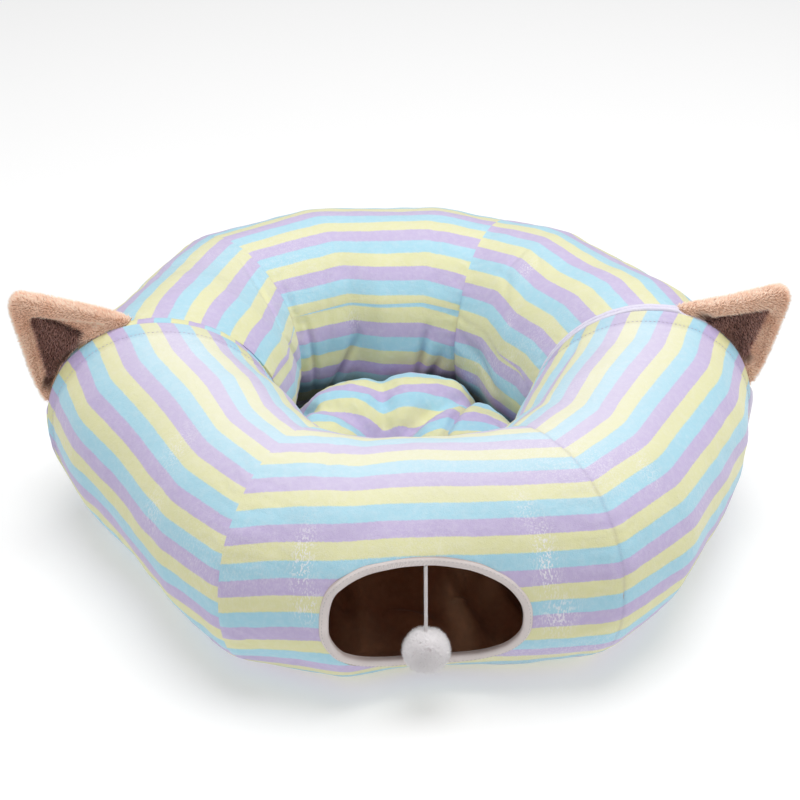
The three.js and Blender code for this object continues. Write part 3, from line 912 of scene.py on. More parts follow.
def ease_half(panels):
    """Eases the rings of neighbouring panels as one sheet, so their shared seams are smooth too."""
    for panel in panels:
        coarse = panel_rings(panel)
        panel["counts"] = ring_counts(coarse)
        panel["base"] = refined(coarse, panel["counts"])
        panel["arcs"] = refined(crown_arcs(coarse), panel["counts"]) / MM
    whole = [panels[0]["base"]] + [panel["base"][1:] for panel in panels[1:]]
    smooth, along = eased(np.concatenate(whole), EASE)
    normal = outward(smooth)
    first = 0
    for panel in panels:
        rows = slice(first, first + len(panel["base"]))
        panel["smooth"], panel["normal"] = smooth[rows], normal[rows]
        panel["along"] = along[rows] - along[first]
        first += len(panel["base"]) - 1


ease_half(PANELS[:3])
ease_half(PANELS[3:])
print("rings:", sum(len(panel["base"]) for panel in PANELS))

# %% Stripes and folds of a panel


def stripe_count(panel, share, arc):
    """Stripes from the crown at each place of the cloth, three to a repeat."""
    lay = LAYS[panel["name"]]
    slide = lay["phase"] + lay["skew"] * share + lay["bow"] * share**2 + lay["curl"] * share**3
    slide = slide + lay["twist"] * share * arc / 100 + lay["swell"] * (arc / 100) ** 2
    return (arc + slide) / lay["stripe"]


def cloth_distance(arc, share, half, start, end):
    """Millimetres on the cloth from a straight line, and how far along it, from 0 to 1."""
    x, y = share * half - start[0] * half, arc - start[1]
    way = np.array([(end[0] - start[0]) * half, end[1] - start[1]])
    part = held((x * way[0] + y * way[1]) / (way @ way))
    return np.hypot(x - part * way[0], y - part * way[1]), part


def trough_depth(panel, arc, share, half):
    depth = np.zeros(np.broadcast(arc, share).shape)
    for trough in TROUGHS:
        if trough["panel"] != panel["name"]:
            continue
        start, end = (trough["along"], trough["down"]), (trough["to_along"], trough["to_down"])
        away, part = cloth_distance(arc, share, half, start, end)
        away = away / trough["width"]
        shape = bell(away, 1) - BRIM["height"] * bell(away, BRIM["width"])
        depth += trough["depth"] * shape * (TROUGH_END + (1 - TROUGH_END) * np.sin(math.pi * part))
    return depth


# How much rubbed pile and painted highlight lies at each place, from the listed places
def rubbed_and_highlight_share(panel, arc, share, half):
    rubbed = np.zeros(np.broadcast(arc, share).shape)
    for spot in RUBBED_AND_HIGHLIGHT:
        if spot["panel"] == panel["name"]:
            across, down = (share - spot["along"]) * half, arc - spot["down"]
            away = np.hypot(across / spot["wide"], down / spot["high"])
            rubbed = np.maximum(rubbed, spot["strength"] * bell(away, 1))
    return rubbed


# %% Make the covers
def make_cover(panel):
    base, arcs, along = panel["base"], panel["arcs"], panel["along"]
    smooth, normal = panel["smooth"], panel["normal"]
    within = refined(panel_rings(panel, COVER), panel["counts"]) - base
    share, arc, half = np.linspace(-1, 1, len(base))[:, None], arcs[:, :-1], along[-1] / 2
    ends = [(panel["start"], along[:, None]), (panel["end"], (along[-1] - along)[:, None])]
    join = np.minimum(ends[0][1], ends[1][1])
    sunk = trough_depth(panel, arc, share, half) * (1 - bell(join, SEAM_CALM))
    lift = -sunk
    # fold: painted shade, in deep troughs, along seams, at the hem's edge and along the sewn-on line
    fold = FOLD_SHADE * np.clip(sunk - FOLD_FROM, 0, None)
    for angle, away in ends:
        if angle in SEAMS:
            seam = SEAMS[angle]
            kept = seam["crown"] + (1 - seam["crown"]) * held((-arc - seam["from"]) / SEAM_GROWTH)
            lift = lift - seam["depth"] * bell(away, SEAM_REACH) * kept
            fold = fold + seam["shade"] * bell(away, SEAM_LINE) * kept
    wave = np.sin(2 * math.pi * arc / PUCKER["length"] + 2.5 * ripples(smooth, 0.05, 6, 71))
    grows = 1 - np.exp(-join / SEAM_CALM)
    lift = lift + PUCKER["height"] * wave * np.exp(-join / PUCKER["reach"]) * grows
    for height, reach, seed in WAVES:
        lift = lift + height * ripples(smooth, reach, 14, seed)
    hem, hem_edge = hem_shares(panel, join)
    sewn, slip = inner_seam(panel, share, arc)
    fold = held(fold + HEM_LINE["shade"] * hem_edge + SEWN_LINE["shade"] * bell(sewn, SEWN_LINE["width"]))
    lift = lift * (1 - HEM_LINE["calm"] * hem) - HEM_LINE["depth"] * hem_edge
    resting = held(smooth[..., 2] / (RESTING * MM))
    points = smooth + normal * (lift * resting)[..., None] * MM
    points[..., 2] = np.maximum(points[..., 2], 0)
    # Rubbed pile with painted highlight: a little everywhere, and more at the listed places
    rubbed = held(0.25 * ripples(smooth, 0.12, 10, 74))
    rubbed = np.maximum(rubbed, rubbed_and_highlight_share(panel, arc, share, half))
    keep = np.unique(np.r_[np.arange(0, len(points), 4), len(points) - 1])[::-1]
    grid = np.concatenate([points, points[keep] + within[keep]])
    length = np.broadcast_to(along[:, None] * MM, arcs.shape)
    uv = np.stack([length, stripe_count(panel, share, arcs) / 3], 2)
    # Painted highlight on the crown, where the lamp shines on it
    pale = bell(arc - PALE["down"], PALE["reach"]) * PALE["front" if panel["front"] else "back"]
    # Painted shadow in the gap between the cushion and the inner wall
    drop = WELL_SHADE["from"] - smooth[..., 2] / MM + WELL_SHADE["uneven"] * ripples(smooth, 0.05, 9, 75)
    deep = held(drop / WELL_SHADE["fade"]) ** 1.5 * (arc < WELL_SHADE["inside"])
    marks = {"rubbed": rubbed, "fold": fold, "hem": hem + 0 * arc, "sewn": sewn, "slip": slip}
    marks |= {"pale": pale, "deep": deep}
    marks = {name: np.concatenate([mark, mark[keep]]) for name, mark in marks.items()}
    edges = (len(points) - 1, len(grid) - 1)
    piece = grid_mesh(panel["name"] + "_plush", grid, np.concatenate([uv, uv[keep]]), PLUSH, marks, edges)
    panel["rings"], panel["join"] = points, join[:, 0]
    return piece, along[-1] * MM, np.ptp(arcs, axis=1).mean() * MM


def hem_shares(panel, join):
    """How much of each place is hem, and how close it is to the hem's stitched edge."""
    hem = np.zeros_like(join)
    edge = np.zeros_like(join)
    hemmed = np.arange(len(join))[:, None] < len(join) / 2
    if not panel["front"] or panel["name"] == "front_middle":
        return hem, edge
    if panel["name"] == "front_right":
        hemmed = ~hemmed
    hem = np.where(hemmed & (join <= HEM_WIDTH), 1.0, 0.0)
    edge = np.where(hemmed, bell(join - HEM_WIDTH, HEM_LINE["width"]), 0.0)
    return hem, edge


def inner_seam(panel, share, arc):
    """How far above the inner wall's seam each place lies, and how far the stripes slip below it."""
    lay = LAYS[panel["name"]]
    return arc - lay["seam"] - lay["rise"] * share, 0 * arc + lay["shift"] / lay["stripe"] / 3


covers = {}
for panel in PANELS:
    piece, length, girth = make_cover(panel)
    covers[panel["name"]] = piece
    panel["cut"] = (round(float(girth), 3), round(float(length), 3))
    print(piece.name, "cut", panel["cut"], len(piece.data.polygons), "quads")

# %% [markdown]
# ## The mouth
# The mouth is an oval hole in the front panel, seen from the front. A block of that outline cuts it
# out of the cover, and later out of the lining, so both edges meet the tape that binds them. Close to
# the edge the cloth is pressed by the tape and lies in its shadow.

# %% Mouth in the cover
MOUTH = {"x": 6, "z": 109, "half_width": 103, "half_height": 65.5}
MOUTH_TILT = math.radians(2.0)
# The share of the oval's square that is open
MOUTH_SHARE = 0.8
# How square the oval's four quarters are: top right, top left, bottom left, bottom right
MOUTH_FULLNESS = (2.35, 3.5, 2.1, 2.3)


def mouth_outline(inset, count=96):
    turn = np.linspace(0, 2 * math.pi, count, endpoint=False)
    across, up = oval_shares(turn, np.array(MOUTH_FULLNESS)[(turn // (math.pi / 2)).astype(int) % 4])
    x, z = (MOUTH["half_width"] - inset) * across, (MOUTH["half_height"] - inset) * up
    c, s = math.cos(MOUTH_TILT), math.sin(MOUTH_TILT)
    return np.stack([MOUTH["x"] + x * c + z * s, MOUTH["z"] + z * c - x * s], -1)


def mouth_cutter():
    outline = mouth_outline(-GAP)
    count = len(outline)
    points = [(x * MM, y, z * MM) for y in (-0.5, -0.25) for x, z in outline]
    faces = [list(range(count))[::-1], list(range(count, 2 * count))]
    faces += [[k, (k + 1) % count, count + (k + 1) % count, count + k] for k in range(count)]
    mesh = bpy.data.meshes.new("cutter")
    mesh.from_pydata(points, [], faces)
    made = bmesh.new()
    made.from_mesh(mesh)
    bmesh.ops.recalc_face_normals(made, faces=made.faces)
    made.to_mesh(mesh)
    made.free()
    return new_piece("cutter", mesh)


def cut_mouth(piece):
    cutter = mouth_cutter()
    cut = piece.modifiers.new("mouth", "BOOLEAN")
    cut.object, cut.operation, cut.solver = cutter, "DIFFERENCE", "EXACT"
    apply_modifiers(piece)
    bpy.data.objects.remove(cutter)


cut_mouth(covers["front_middle"])
MOUTH_AREA = 4 * MOUTH["half_width"] * MOUTH["half_height"] * MOUTH_SHARE * MM * MM
for panel in PANELS:
    piece, (girth, length) = covers[panel["name"]], panel["cut"]
    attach(piece, "root")
    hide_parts(panel["name"] + "_cover")
    hole = MOUTH_AREA if panel["name"] == "front_middle" else 0
    girth * length - hole
print("mouth cut:", len(covers["front_middle"].data.polygons), "faces")

# %% [markdown]
# ## Linings
# Through the mouth the tunnel shows dark brown plush, loose against the cover, with big soft folds.
# It is grown from the same rings as the cover, further in, and its folds only reach inwards.

# %% Linings
# floor: the height up to which folds lie on the tunnel's floor
LINING = {"inset": COVER + GAP, "thickness": 2, "folds": 6.0, "floor": 60}
# The lining lies flat against the cover near the mouth: y of its middle, and the reach, in metres
MOUTH_CALM = {"y": -0.36, "reach": 0.06}
# Patches of painted highlight on the lining's folds: x, width and strength
LINING_PALE = [(46, 15, 1.0), (-56, 26, 0.4), (84, 12, 0.6)]
# Folds that the mouth shows, lying on the tunnel's floor: from one place to another, seen from above
LINING_FOLDS = table(
    "x y to_x to_y height width",
    (-58, -150, -52, -290, 12, 13),
    (-20, -216, 24, -238, 11, 11),
    (30, -160, 70, -262, 14, 10),
    (96, -150, 118, -262, 12, 14),
    (40, -215, 62, -205, 7, 7),
    (-100, -180, -76, -250, 9, 11),
)


def floor_folds(points):
    """How high the lining's folds stand at each point, in millimetres."""
    x, y = points[..., 0] / MM, points[..., 1] / MM
    height = 0 * x
    for fold in LINING_FOLDS:
        along, across = fold["to_x"] - fold["x"], fold["to_y"] - fold["y"]
        part = ((x - fold["x"]) * along + (y - fold["y"]) * across) / (along**2 + across**2)
        part = held(part)
        away = np.hypot(x - fold["x"] - part * along, y - fold["y"] - part * across)
        height += fold["height"] * bell(away, fold["width"]) * (0.5 + 0.5 * np.sin(math.pi * part))
    return height * (points[..., 2] / MM < LINING["floor"])


def make_lining(panel):
    coarse = panel_rings(panel, LINING["inset"] + (HEM_RISE if panel["name"] != "front_middle" else 0))
    counts = np.maximum(1, ring_counts(coarse) // 2)
    outer, arcs = refined(coarse, counts), refined(crown_arcs(coarse), counts)
    smooth, along = eased(outer, EASE)
    normal = outward(smooth)
    folds = np.clip(ripples(smooth, 0.14, 9, panel["start"] + 9, squeeze=(1, 1, 0.35)) + 0.25, 0, 1.6)
    away = np.minimum(along, along[-1] - along)[:, None] / 20
    lift = -(LINING["folds"] * folds + floor_folds(smooth)) * held(away)
    if panel["name"] == "front_middle":
        lift = lift * (1 - bell(smooth[..., 1] - MOUTH_CALM["y"], MOUTH_CALM["reach"]))
    skin = smooth + normal * lift[..., None] * MM
    inner = skin - normal * LINING["thickness"] * MM
    inner[..., 2] = np.maximum(inner[..., 2], (LINING["inset"] + LINING["thickness"]) * MM)
    skin[..., 2] = np.maximum(skin[..., 2], LINING["inset"] * MM)
    uv = np.stack([np.broadcast_to(along[:, None] * MM, arcs.shape), arcs], 2)
    grid = np.concatenate([skin, inner[::-1]])
    uv, edges = np.concatenate([uv, uv[::-1]]), (len(skin) - 1, len(grid) - 1)
    # Painted highlight on the lining, in upright patches with uneven edges
    x = grid[..., 0] / MM + 6 * ripples(grid, 0.06, 8, 76)
    pale = sum(strength * bell(x - at, wide) for at, wide, strength in LINING_PALE)
    pale = pale * held(0.7 + 0.5 * ripples(grid, 0.05, 8, 77))
    piece = grid_mesh(panel["name"] + "_plush_lining", grid, uv, LINING_PLUSH, {"pale": pale}, edges)
    return piece, along[-1]


for panel in PANELS:
    if not panel["front"]:
        continue
    piece, length = make_lining(panel)
    hole = 0
    if panel["name"] == "front_middle":
        cut_mouth(piece)
        hole = MOUTH_AREA
    girth, length = panel["cut"][0] - 0.02, float(length) * MM
    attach(piece, "root")
    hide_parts(panel["name"] + "_lining")
    girth * length - hole
    print(piece.name, "cut", round(girth, 3), "by", round(length, 3))

# %% [markdown]
# ## Welts and hems
# Where the front half meets the back half on the right, two rolled edges of pale plush run side by
# side round the tunnel, each a lobe of the welt's profile and gathered a little. On the left the photo
# shows one flat striped band instead. Beside them the front half ends in a hem, held by a row of
# stitches that Geometry Nodes sew along the hem's edge.

# %% Welts
WELT_AROUND = 288
LOBE_STEPS = 9
# lobes: two rolled edges, or one flat band. under_ear: the turns, in degrees, where an ear is sewn
# over the welt and presses it flat.
WELTS = {
    "right": {"angle": 360, "rise": WELT_RISE, "lobes": (0.25, -0.25), "under_ear": (9, 77)},
    "left": {"angle": 180, "rise": 1.6, "lobes": (0.0,), "under_ear": (9, 79)},
}
BAND_STRIPE = {"width": 18.6, "phase": 1.94}
# Fine and broad waves of a gathered edge, as height, length and count, and the most it stands up
GATHERS, GATHERED = ((0.35, 0.012, 12), (0.45, 0.05, 8)), 0.3


def welt_profile(rise, lobes):
    """(inset, shift) pairs round the lobes and back under the covers' edges."""
    pairs = [(COVER, 0.49), (1.0, 0.5)]
    wide = 0.5 / len(lobes)
    for middle in lobes:
        for turn in np.linspace(0.06, 0.94, LOBE_STEPS) * math.pi:
            pairs.append((-rise * math.sin(turn) ** 0.7, middle + wide * math.cos(turn)))
    return pairs + [(1.0, -0.5), (COVER, -0.49)]


def make_welt(side, angle, rise, lobes, under_ear):
    row = next(row for row in SECTIONS if row["angle"] == angle)
    turn = ring_turns(WELT_AROUND)
    low, high = under_ear
    spin = np.degrees(turn) % 360
    stands = 1 - 0.9 * held((spin - low) / 3) * held((high - spin) / 3)
    profile = welt_profile(rise, lobes)
    rings = []
    for inset, shift in profile:
        inset = inset * stands if inset < 0 else inset
        rings.append(placed(row, wall_points(row, turn, inset, 1.0), -shift * WELT_WIDTH))
    rings = np.array(rings)
    normal = outward(np.array([placed(row, wall_points(row, turn, 0.0), s) for s in (-5, 0, 5)]))[1]
    gathers = sum(h * ripples(rings, *wave, angle + k) for k, (h, *wave) in enumerate(GATHERS))
    proud = np.array([inset < 0.5 for inset, _ in profile])[:, None]
    rings = rings + normal[None] * (np.minimum(gathers, GATHERED) * proud)[..., None] * MM
    rings[..., 2] = np.maximum(rings[..., 2], MM)
    stripe = (crown_arcs(rings) / MM / BAND_STRIPE["width"] + BAND_STRIPE["phase"]) / 3
    across = np.arange(len(rings)) / len(rings)
    uv = np.stack(np.broadcast_arrays(across[:, None], stripe), 2)
    # Painted shade along the welt's front edge, beside the hem
    shade = np.array([0.8 * (shift > 0.42) for _, shift in profile])[:, None] + 0 * stands
    finish = WELT_PLUSH if side == "right" else PLUSH
    return grid_mesh("piping_" + side, rings, uv, finish, {"fold": shade})


for side, welt in WELTS.items():
    piece = make_welt(side, **welt)
    girth = round(PANELS[0]["cut"][0], 3)
    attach(piece, "root")
    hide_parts("welt_" + side)
    print(piece.name, len(piece.data.polygons), "quads")

# %% Hem stitches
HEM_STITCH = {"length": 0.0030, "gap": 0.0018, "width": 0.0008}
HEM_SEAM = HEM_WIDTH - 1.5


def sew_hem(panel, side):
    rings, join = panel["rings"], panel["join"]
    half = range(len(join) // 2) if side == "left" else range(len(join) // 2, len(join))
    nearest = min(half, key=lambda k: abs(join[k] - HEM_SEAM))
    line = rings[nearest] + outward(rings)[nearest] * 0.1 * MM
    line[:, 2] = np.maximum(line[:, 2], MM)
    piece = stitches("hem_stitches_" + side, line, THREAD, **HEM_STITCH)
    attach(piece, "root")


sew_hem(PANELS[0], "left")
sew_hem(PANELS[2], "right")

# %% [markdown]
# ## Tape round the mouth
# A cream twill tape is folded over the cut edges of the cover and the lining. Its section is a flat
# oval that follows the mouth's outline on the wall's face, and a row of pale stitches holds it.

# %% Tape
TAPE_SECTION = {"inset": 4.0, "half_width": 4.8, "half_depth": 4.2, "fullness": 2.7}
TAPE_AROUND, TAPE_SIDES = 240, 20
# The length of tape from one point to the next, and how uneven its edge is
TAPE_STEP, TAPE_UNEVEN = 0.0023, 0.35
TAPE_STITCH = {"length": 0.0026, "gap": 0.0016, "width": 0.0007}


def wall_radius(angle, height):
    """The distance from the middle of the ring to its outer wall."""
    first = SECTIONS[0]["angle"]
    whole = first + (angle - first) % 360
    after = next(k for k, row in enumerate(SECTIONS) if k and row["angle"] >= whole)
    reach = []
    for row in SECTIONS[after - 1 : after + 1]:
        belly = row["top"] * BELLY
        rise = (height - belly) / (row["top"] - belly)
        if height <= belly:
            rise = (belly - height) / (belly + SINK)
        across = math.sqrt(1 - min(rise, 1) ** FULLNESS) ** (2 / FULLNESS)
        reach.append((row["outer"] + row["inner"]) / 2 + (row["outer"] - row["inner"]) / 2 * across)
    before = math.radians(whole - SECTIONS[after - 1]["angle"])
    beyond = math.radians(SECTIONS[after]["angle"] - whole)
    near, far = reach
    return near * far * math.sin(before + beyond) / (near * math.sin(before) + far * math.sin(beyond))


def front_wall_y(x, z):
    y = -SECTIONS[0]["outer"]
    for _ in range(8):
        y = -math.sqrt(wall_radius(math.degrees(math.atan2(y, x)), z) ** 2 - x * x)
    return y


def tape_centres(inset, count):
    flat = mouth_outline(inset, count)
    return np.array([(x, front_wall_y(x, z) + (COVER + LINING["thickness"]) / 2, z) for x, z in flat])


def softened(points, passes):
    """A closed row of points with its corners eased."""
    for _ in range(passes):
        points = (np.roll(points, 1, 0) + 2 * points + np.roll(points, -1, 0)) / 4
    return points


def tape_rings():
    centre = softened(tape_centres(TAPE_SECTION["inset"], TAPE_AROUND), 6)
    along = unit(np.roll(centre, -1, 0) - np.roll(centre, 1, 0))
    out = centre - np.array([MOUTH["x"], 0, MOUTH["z"]])
    out[:, 1] = 0
    out = unit(out - along * (out * along).sum(1, keepdims=True))
    through = np.cross(along, out)
    spin = np.linspace(0, 2 * math.pi, TAPE_SIDES, endpoint=False)
    across, deep = oval_shares(spin, TAPE_SECTION["fullness"])
    section = [
        centre + out * TAPE_SECTION["half_width"] * a + through * TAPE_SECTION["half_depth"] * d
        for a, d in zip(across, deep)
    ]
    return np.array(section) * MM, out, through, centre


def make_tape(rings, out):
    rings = rings + out[None] * (TAPE_UNEVEN * ripples(rings, 0.03, 10, 5))[..., None] * MM
    around = np.arange(TAPE_AROUND + 1) * TAPE_STEP
    across = np.arange(TAPE_SIDES) / TAPE_SIDES
    uv = np.stack(np.broadcast_arrays(around[None, :], across[:, None]), 2)
    # Painted shade along the tape's two folded edges
    edge = np.abs(np.cos(across * 2 * math.pi))[:, None] ** 6 + 0 * around[None, :-1]
    return grid_mesh("binding_tape", rings, uv, TAPE, {"fold": edge})


tape_skin, tape_out, tape_through, tape_line = tape_rings()
tape = make_tape(tape_skin, tape_out)
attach(tape, "root")
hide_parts("mouth_tape")
front = np.sign((tape_through * [0, -1, 0]).sum(1).mean())
sewn = tape_line + tape_out * 2.2 + tape_through * front * (TAPE_SECTION["half_depth"] - 0.15)
tape_stitches = stitches("tape_stitches", sewn * MM, PALE_THREAD, **TAPE_STITCH)
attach(tape_stitches, "root")

# %% [markdown]
# ## Copies of CAD solids
# Stuffed pieces start from their solid: a merged copy is given an even fine mesh by a voxel remesh
# and smoothed, which turns its cut corners into soft ones without changing its place.

# %% Copies


def copy_of(node, name):
    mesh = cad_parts[node].data.copy()
    mesh.materials.clear()
    made = bmesh.new()
    made.from_mesh(mesh)
    bmesh.ops.remove_doubles(made, verts=made.verts, dist=0.01 * MM)
    plain = bpy.data.meshes.new(name)
    made.to_mesh(plain)
    made.free()
    bpy.data.meshes.remove(mesh)
    return new_piece(name, plain)


def remeshed(piece, voxel, smoothing):
    remesh = piece.modifiers.new("remesh", "REMESH")
    remesh.mode, remesh.voxel_size, remesh.use_smooth_shade = "VOXEL", voxel, True
    soft = piece.modifiers.new("soft", "SMOOTH")
    soft.factor, soft.iterations = 0.5, smoothing
    return apply_modifiers(piece)


def points_of(piece):
    return np.array([v.co for v in piece.data.vertices])


def set_points(piece, points):
    piece.data.vertices.foreach_set("co", points.reshape(-1).astype(np.float32))
    piece.data.update()


# %% [markdown]
# ## Ears
# Each ear is light brown plush with a deep, dark, furry hollow. Fur like this has visible locks, so
# the skin is only a base, and Geometry Nodes plant thousands of three-sided locks on it, combed from
# the ear's root towards its tip.

# %% Ears
# row: the section it stands on. base and hollow: the degrees of the section that it and its dark
# middle span. reach: how far its ends are drawn out along the tunnel.
EARS = {
    "right": {"row": 360, "base": (11.25, 67.5), "reach": 22, "hollow": (24, 63)},
    "left": {"row": 180, "base": (11.25, 78.75), "reach": 4, "hollow": (18, 55)},
}
COMB = {"right": (0.75, -0.25, 0.35), "left": (-0.75, -0.25, 0.35)}
INSIDE_COMB = (0, -0.6, -0.4)
# The dark inner piece's three corners, as x and z: first on the solid, then where the fur round it
# leaves it bare
BARE = {
    "right": (((343, 240), (405, 246), (396, 179.5)), ((332, 232.5), (402, 252.5), (383, 193))),
    "left": (((-402, 257.5), (-326, 250), (-395.5, 175)), ((-400, 262), (-341, 231.5), (-387, 184))),
}
EAR_LOCK = {"length": 0.0058, "width": 0.0010, "density": 900000.0, "lean": 1.0}
INSIDE_LOCK = {"length": 0.0060, "width": 0.0011, "density": 900000.0, "lean": 0.5}
# An ear's end gets slim over the last TAIL millimetres, by the share SLIM at its tip
TAIL, SLIM = 42.0, 0.45
# The ear presses the welt flat, so its foot is set down by the welt's rise, and what stands above the
# foot less and less, up to this height
FOOT = 14
# y of the plane that an ear gets slim towards
EAR_Y = 4
# The dark hollow: how soft its edge is in degrees and in millimetres, the height up to which it is
# dark, the y in front of which it is, and how deep it is pressed
HOLLOW = {"soft": 5, "edge": 3, "height": 13, "front": 2, "depth": 5}


def fit_ear(points, row, base, reach, hollow):
    """Draws the ear's ends out along the tunnel, sets its base down, and hollows it to the base.

    Gives the moved points and how dark each one is."""
    section = next(r for r in SECTIONS if r["angle"] == row)
    turn = np.linspace(-60, 170, 461)
    line = section_points(section, np.radians(turn))
    arc = np.r_[0, np.cumsum(np.linalg.norm(np.diff(line, axis=0), axis=1))]
    side = 1 if row == 360 else -1
    flat = np.stack([points[:, 0] * side, points[:, 2]], 1) / MM
    nearest = np.argmin(((flat[:, None] - line[None]) ** 2).sum(2), 1)
    away = flat - line[nearest]
    height = np.linalg.norm(away, axis=1)
    low, high = np.interp(base, turn, arc)
    at = arc[nearest]
    to_low, to_high = (np.clip(1 - past / TAIL, 0, 1.15) for past in (at - low, high - at))
    drawn = at + reach * to_high**2
    foot = np.stack([np.interp(drawn, arc, line[:, k]) for k in (0, 1)], 1)
    slim = 1 - SLIM * np.maximum(to_low, to_high) ** 2
    lowered = height * slim - WELT_RISE * held(1 - height / FOOT)
    moved = foot + away / np.maximum(height, 1e-6)[:, None] * lowered[:, None]
    degrees, y = turn[nearest], points[:, 1] / MM
    after_start = (degrees - hollow[0]) / HOLLOW["soft"]
    before_end = (hollow[1] - degrees) / HOLLOW["soft"]
    under = (HOLLOW["height"] - height) / HOLLOW["edge"]
    in_front = (HOLLOW["front"] - y) / HOLLOW["edge"]
    dark = held(after_start) * held(before_end) * held(under) * held(in_front)
    y = EAR_Y + (y - EAR_Y) * slim + HOLLOW["depth"] * dark
    return np.stack([moved[:, 0] * side, y, moved[:, 1]], 1) * MM, dark


def furry(node, name, finish, slot, lock, comb, seed, smoothing, ear=None, bare=None):
    skin = remeshed(copy_of(node, name), 0.0025, smoothing)
    skin.data.materials.clear()
    skin.data.materials.append(finish)
    if ear:
        points, dark = fit_ear(points_of(skin), **ear)
        set_points(skin, points)
        set_mark(skin.data, "dark", dark)
    if bare:
        set_points(skin, laid_bare(points_of(skin), *bare))
    coat = fur(name + "_fur", skin, finish, comb=comb, seed=seed, **lock)
    for piece in (skin, coat):
        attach(piece, "root")
    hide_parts(node)
    return skin


def laid_bare(points, solid, bare):
    """The points moved so that the solid's corners come to the bare patch's corners."""
    corners = np.c_[np.array(solid, float), np.ones(3)]
    across = np.linalg.solve(corners, np.array(bare, float) - np.array(solid, float))
    flat = np.c_[points[:, 0] / MM, points[:, 2] / MM, np.ones(len(points))] @ across
    return points + np.stack([flat[:, 0], 0 * flat[:, 0], flat[:, 1]], 1) * MM


for side, ear in EARS.items():
    node, outer, inner = "ear_" + side, (EAR_FUR, "ear_plush"), (EAR_INSIDE_FUR, "ear_lining")
    skin = furry(node, "plush_" + node, *outer, EAR_LOCK, COMB[side], ear["row"] + 1, 5, ear)
    node = "ear_inside_" + side
    bare = BARE[side]
    inside = furry(node, "plush_" + node, *inner, INSIDE_LOCK, INSIDE_COMB, ear["row"] + 2, 3, bare=bare)

# %% [markdown]
# ## Cushion
# The round cushion is one filled piece, sewn down in the middle, with creases that run out from
# there. Its solid is blown up a little by the cloth simulation, which stretches every facet into the
# tight curve of stuffed cloth. A remesh would erase creases, so they are pressed in afterwards.

# %% Cushion shape
TUFT = {"x": -20.0, "y": -5.0, "depth": 9.0, "reach": 26.0}
CUSHION_CREASES = table(
    "angle depth width reach",
    (15, 3, 6, 90),
    (90, 1.0, 5.5, 50),
    (210, 4, 6, 140),
    (270, 5, 4, 140),
    (330, 6, 6, 140),
)
# The crease that parts the right lobe: x where it crosses the middle, and how far it leans back
LOBE = {"x": 56, "lean": 0.42, "depth": 7.0, "width": 6.0, "slide": 8, "curve": -26, "middle": 100}
PUFF = {"pressure": 4.0, "cap": 0.006, "frames": 20}
# A crease wavers by bend over wave, and starts this far from the tuft. Only the top is pressed.
CREASE = {"bend": 4, "wave": 30, "start": 12}
TOP = {"from": 45, "fade": 25}


def puffed(piece, pressure, cap, frames):
    """Blows the piece up as stuffed cloth, by no more than cap."""
    before = points_of(piece)
    cloth = piece.modifiers.new("cloth", "CLOTH")
    cloth.settings.use_pressure = True
    cloth.settings.uniform_pressure_force = pressure
    cloth.settings.effector_weights.gravity = 0
    scene = bpy.context.scene
    for now in range(1, frames + 1):
        scene.frame_set(now)
    apply_modifiers(piece)
    scene.frame_set(1)
    moved = points_of(piece) - before
    far = np.linalg.norm(moved, axis=1, keepdims=True)
    set_points(piece, before + moved * np.minimum(1, cap / np.maximum(far, 1e-9)))
    print(piece.name, "puffed by up to", round(float(far.max()) / MM, 1), "mm, held to", cap / MM)


def past_lobe(points):
    """Millimetres to the right of the crease that parts the right lobe from the rest."""
    x = points[:, 0] / MM - LOBE["x"] - LOBE["lean"] * points[:, 1] / MM
    return x / math.hypot(1, LOBE["lean"])


def pressed(points):
    """The tuft and creases, in metres down, at each point of the cushion's top."""
    x, y = points[:, 0] / MM - TUFT["x"], points[:, 1] / MM - TUFT["y"]
    out = np.hypot(x, y)
    down = TUFT["depth"] * bell(out, TUFT["reach"])
    for crease in CUSHION_CREASES:
        angle = math.radians(crease["angle"])
        c, s = math.cos(angle), math.sin(angle)
        ahead, aside = x * c + y * s, -x * s + y * c
        bend = CREASE["bend"] * np.sin(ahead / CREASE["wave"] + crease["angle"])
        fade = held(1 - ahead / crease["reach"]) * held(ahead / CREASE["start"])
        down = down + crease["depth"] * fade * bell(aside - bend, crease["width"])
    down = down + LOBE["depth"] * bell(past_lobe(points), LOBE["width"])
    top = held((points[:, 2] / MM - TOP["from"]) / TOP["fade"])
    return down * top * MM


cushion = remeshed(copy_of("cushion", "tufted_cushion"), 0.005, 3)
puffed(cushion, **PUFF)

# %% Cushion finish
CUSHION_STRIPE = {"width": 19.0, "lemon_at": 92.0}
# The cloth that goes down over the rim at the back takes its stripes with it
OVER_RIM = {"from": 80.0, "share": 0.7}
# How far the stripes are drawn back on both sides of the tuft and over what distance, and y where
# none of it is left
SWAY = {"left": 24, "left_reach": 52, "bend": 1.3, "right": 4, "right_reach": 45, "back": 115, "fade": 60}
SCALLOP = {"height": 2.6, "length": 0.055}
# The cushion lies in shade, and its right lobe in more
CUSHION_SHADE, LOBE_SHADE = 0.15, 0.35
# A crease as deep as this, in millimetres, has the full shade of a fold
CREASE_FULL, CREASE_SHADE = 6, 0.7
# The rim gets painted shade under one height, and is gathered around another
RIM = {"dark_from": 62, "fade": 30, "gathers": 70, "width": 22}


def cushion_relief(points):
    rim = bell(points[:, 2] / MM - RIM["gathers"], RIM["width"])
    scallops = SCALLOP["height"] * ripples(points, SCALLOP["length"], 10, 61) * rim
    wrinkles = 0.9 * ripples(points, 0.028, 14, 62) + 0.5 * ripples(points, 0.015, 14, 63)
    return (scallops + wrinkles) * held(points[:, 2] / 0.02) * MM


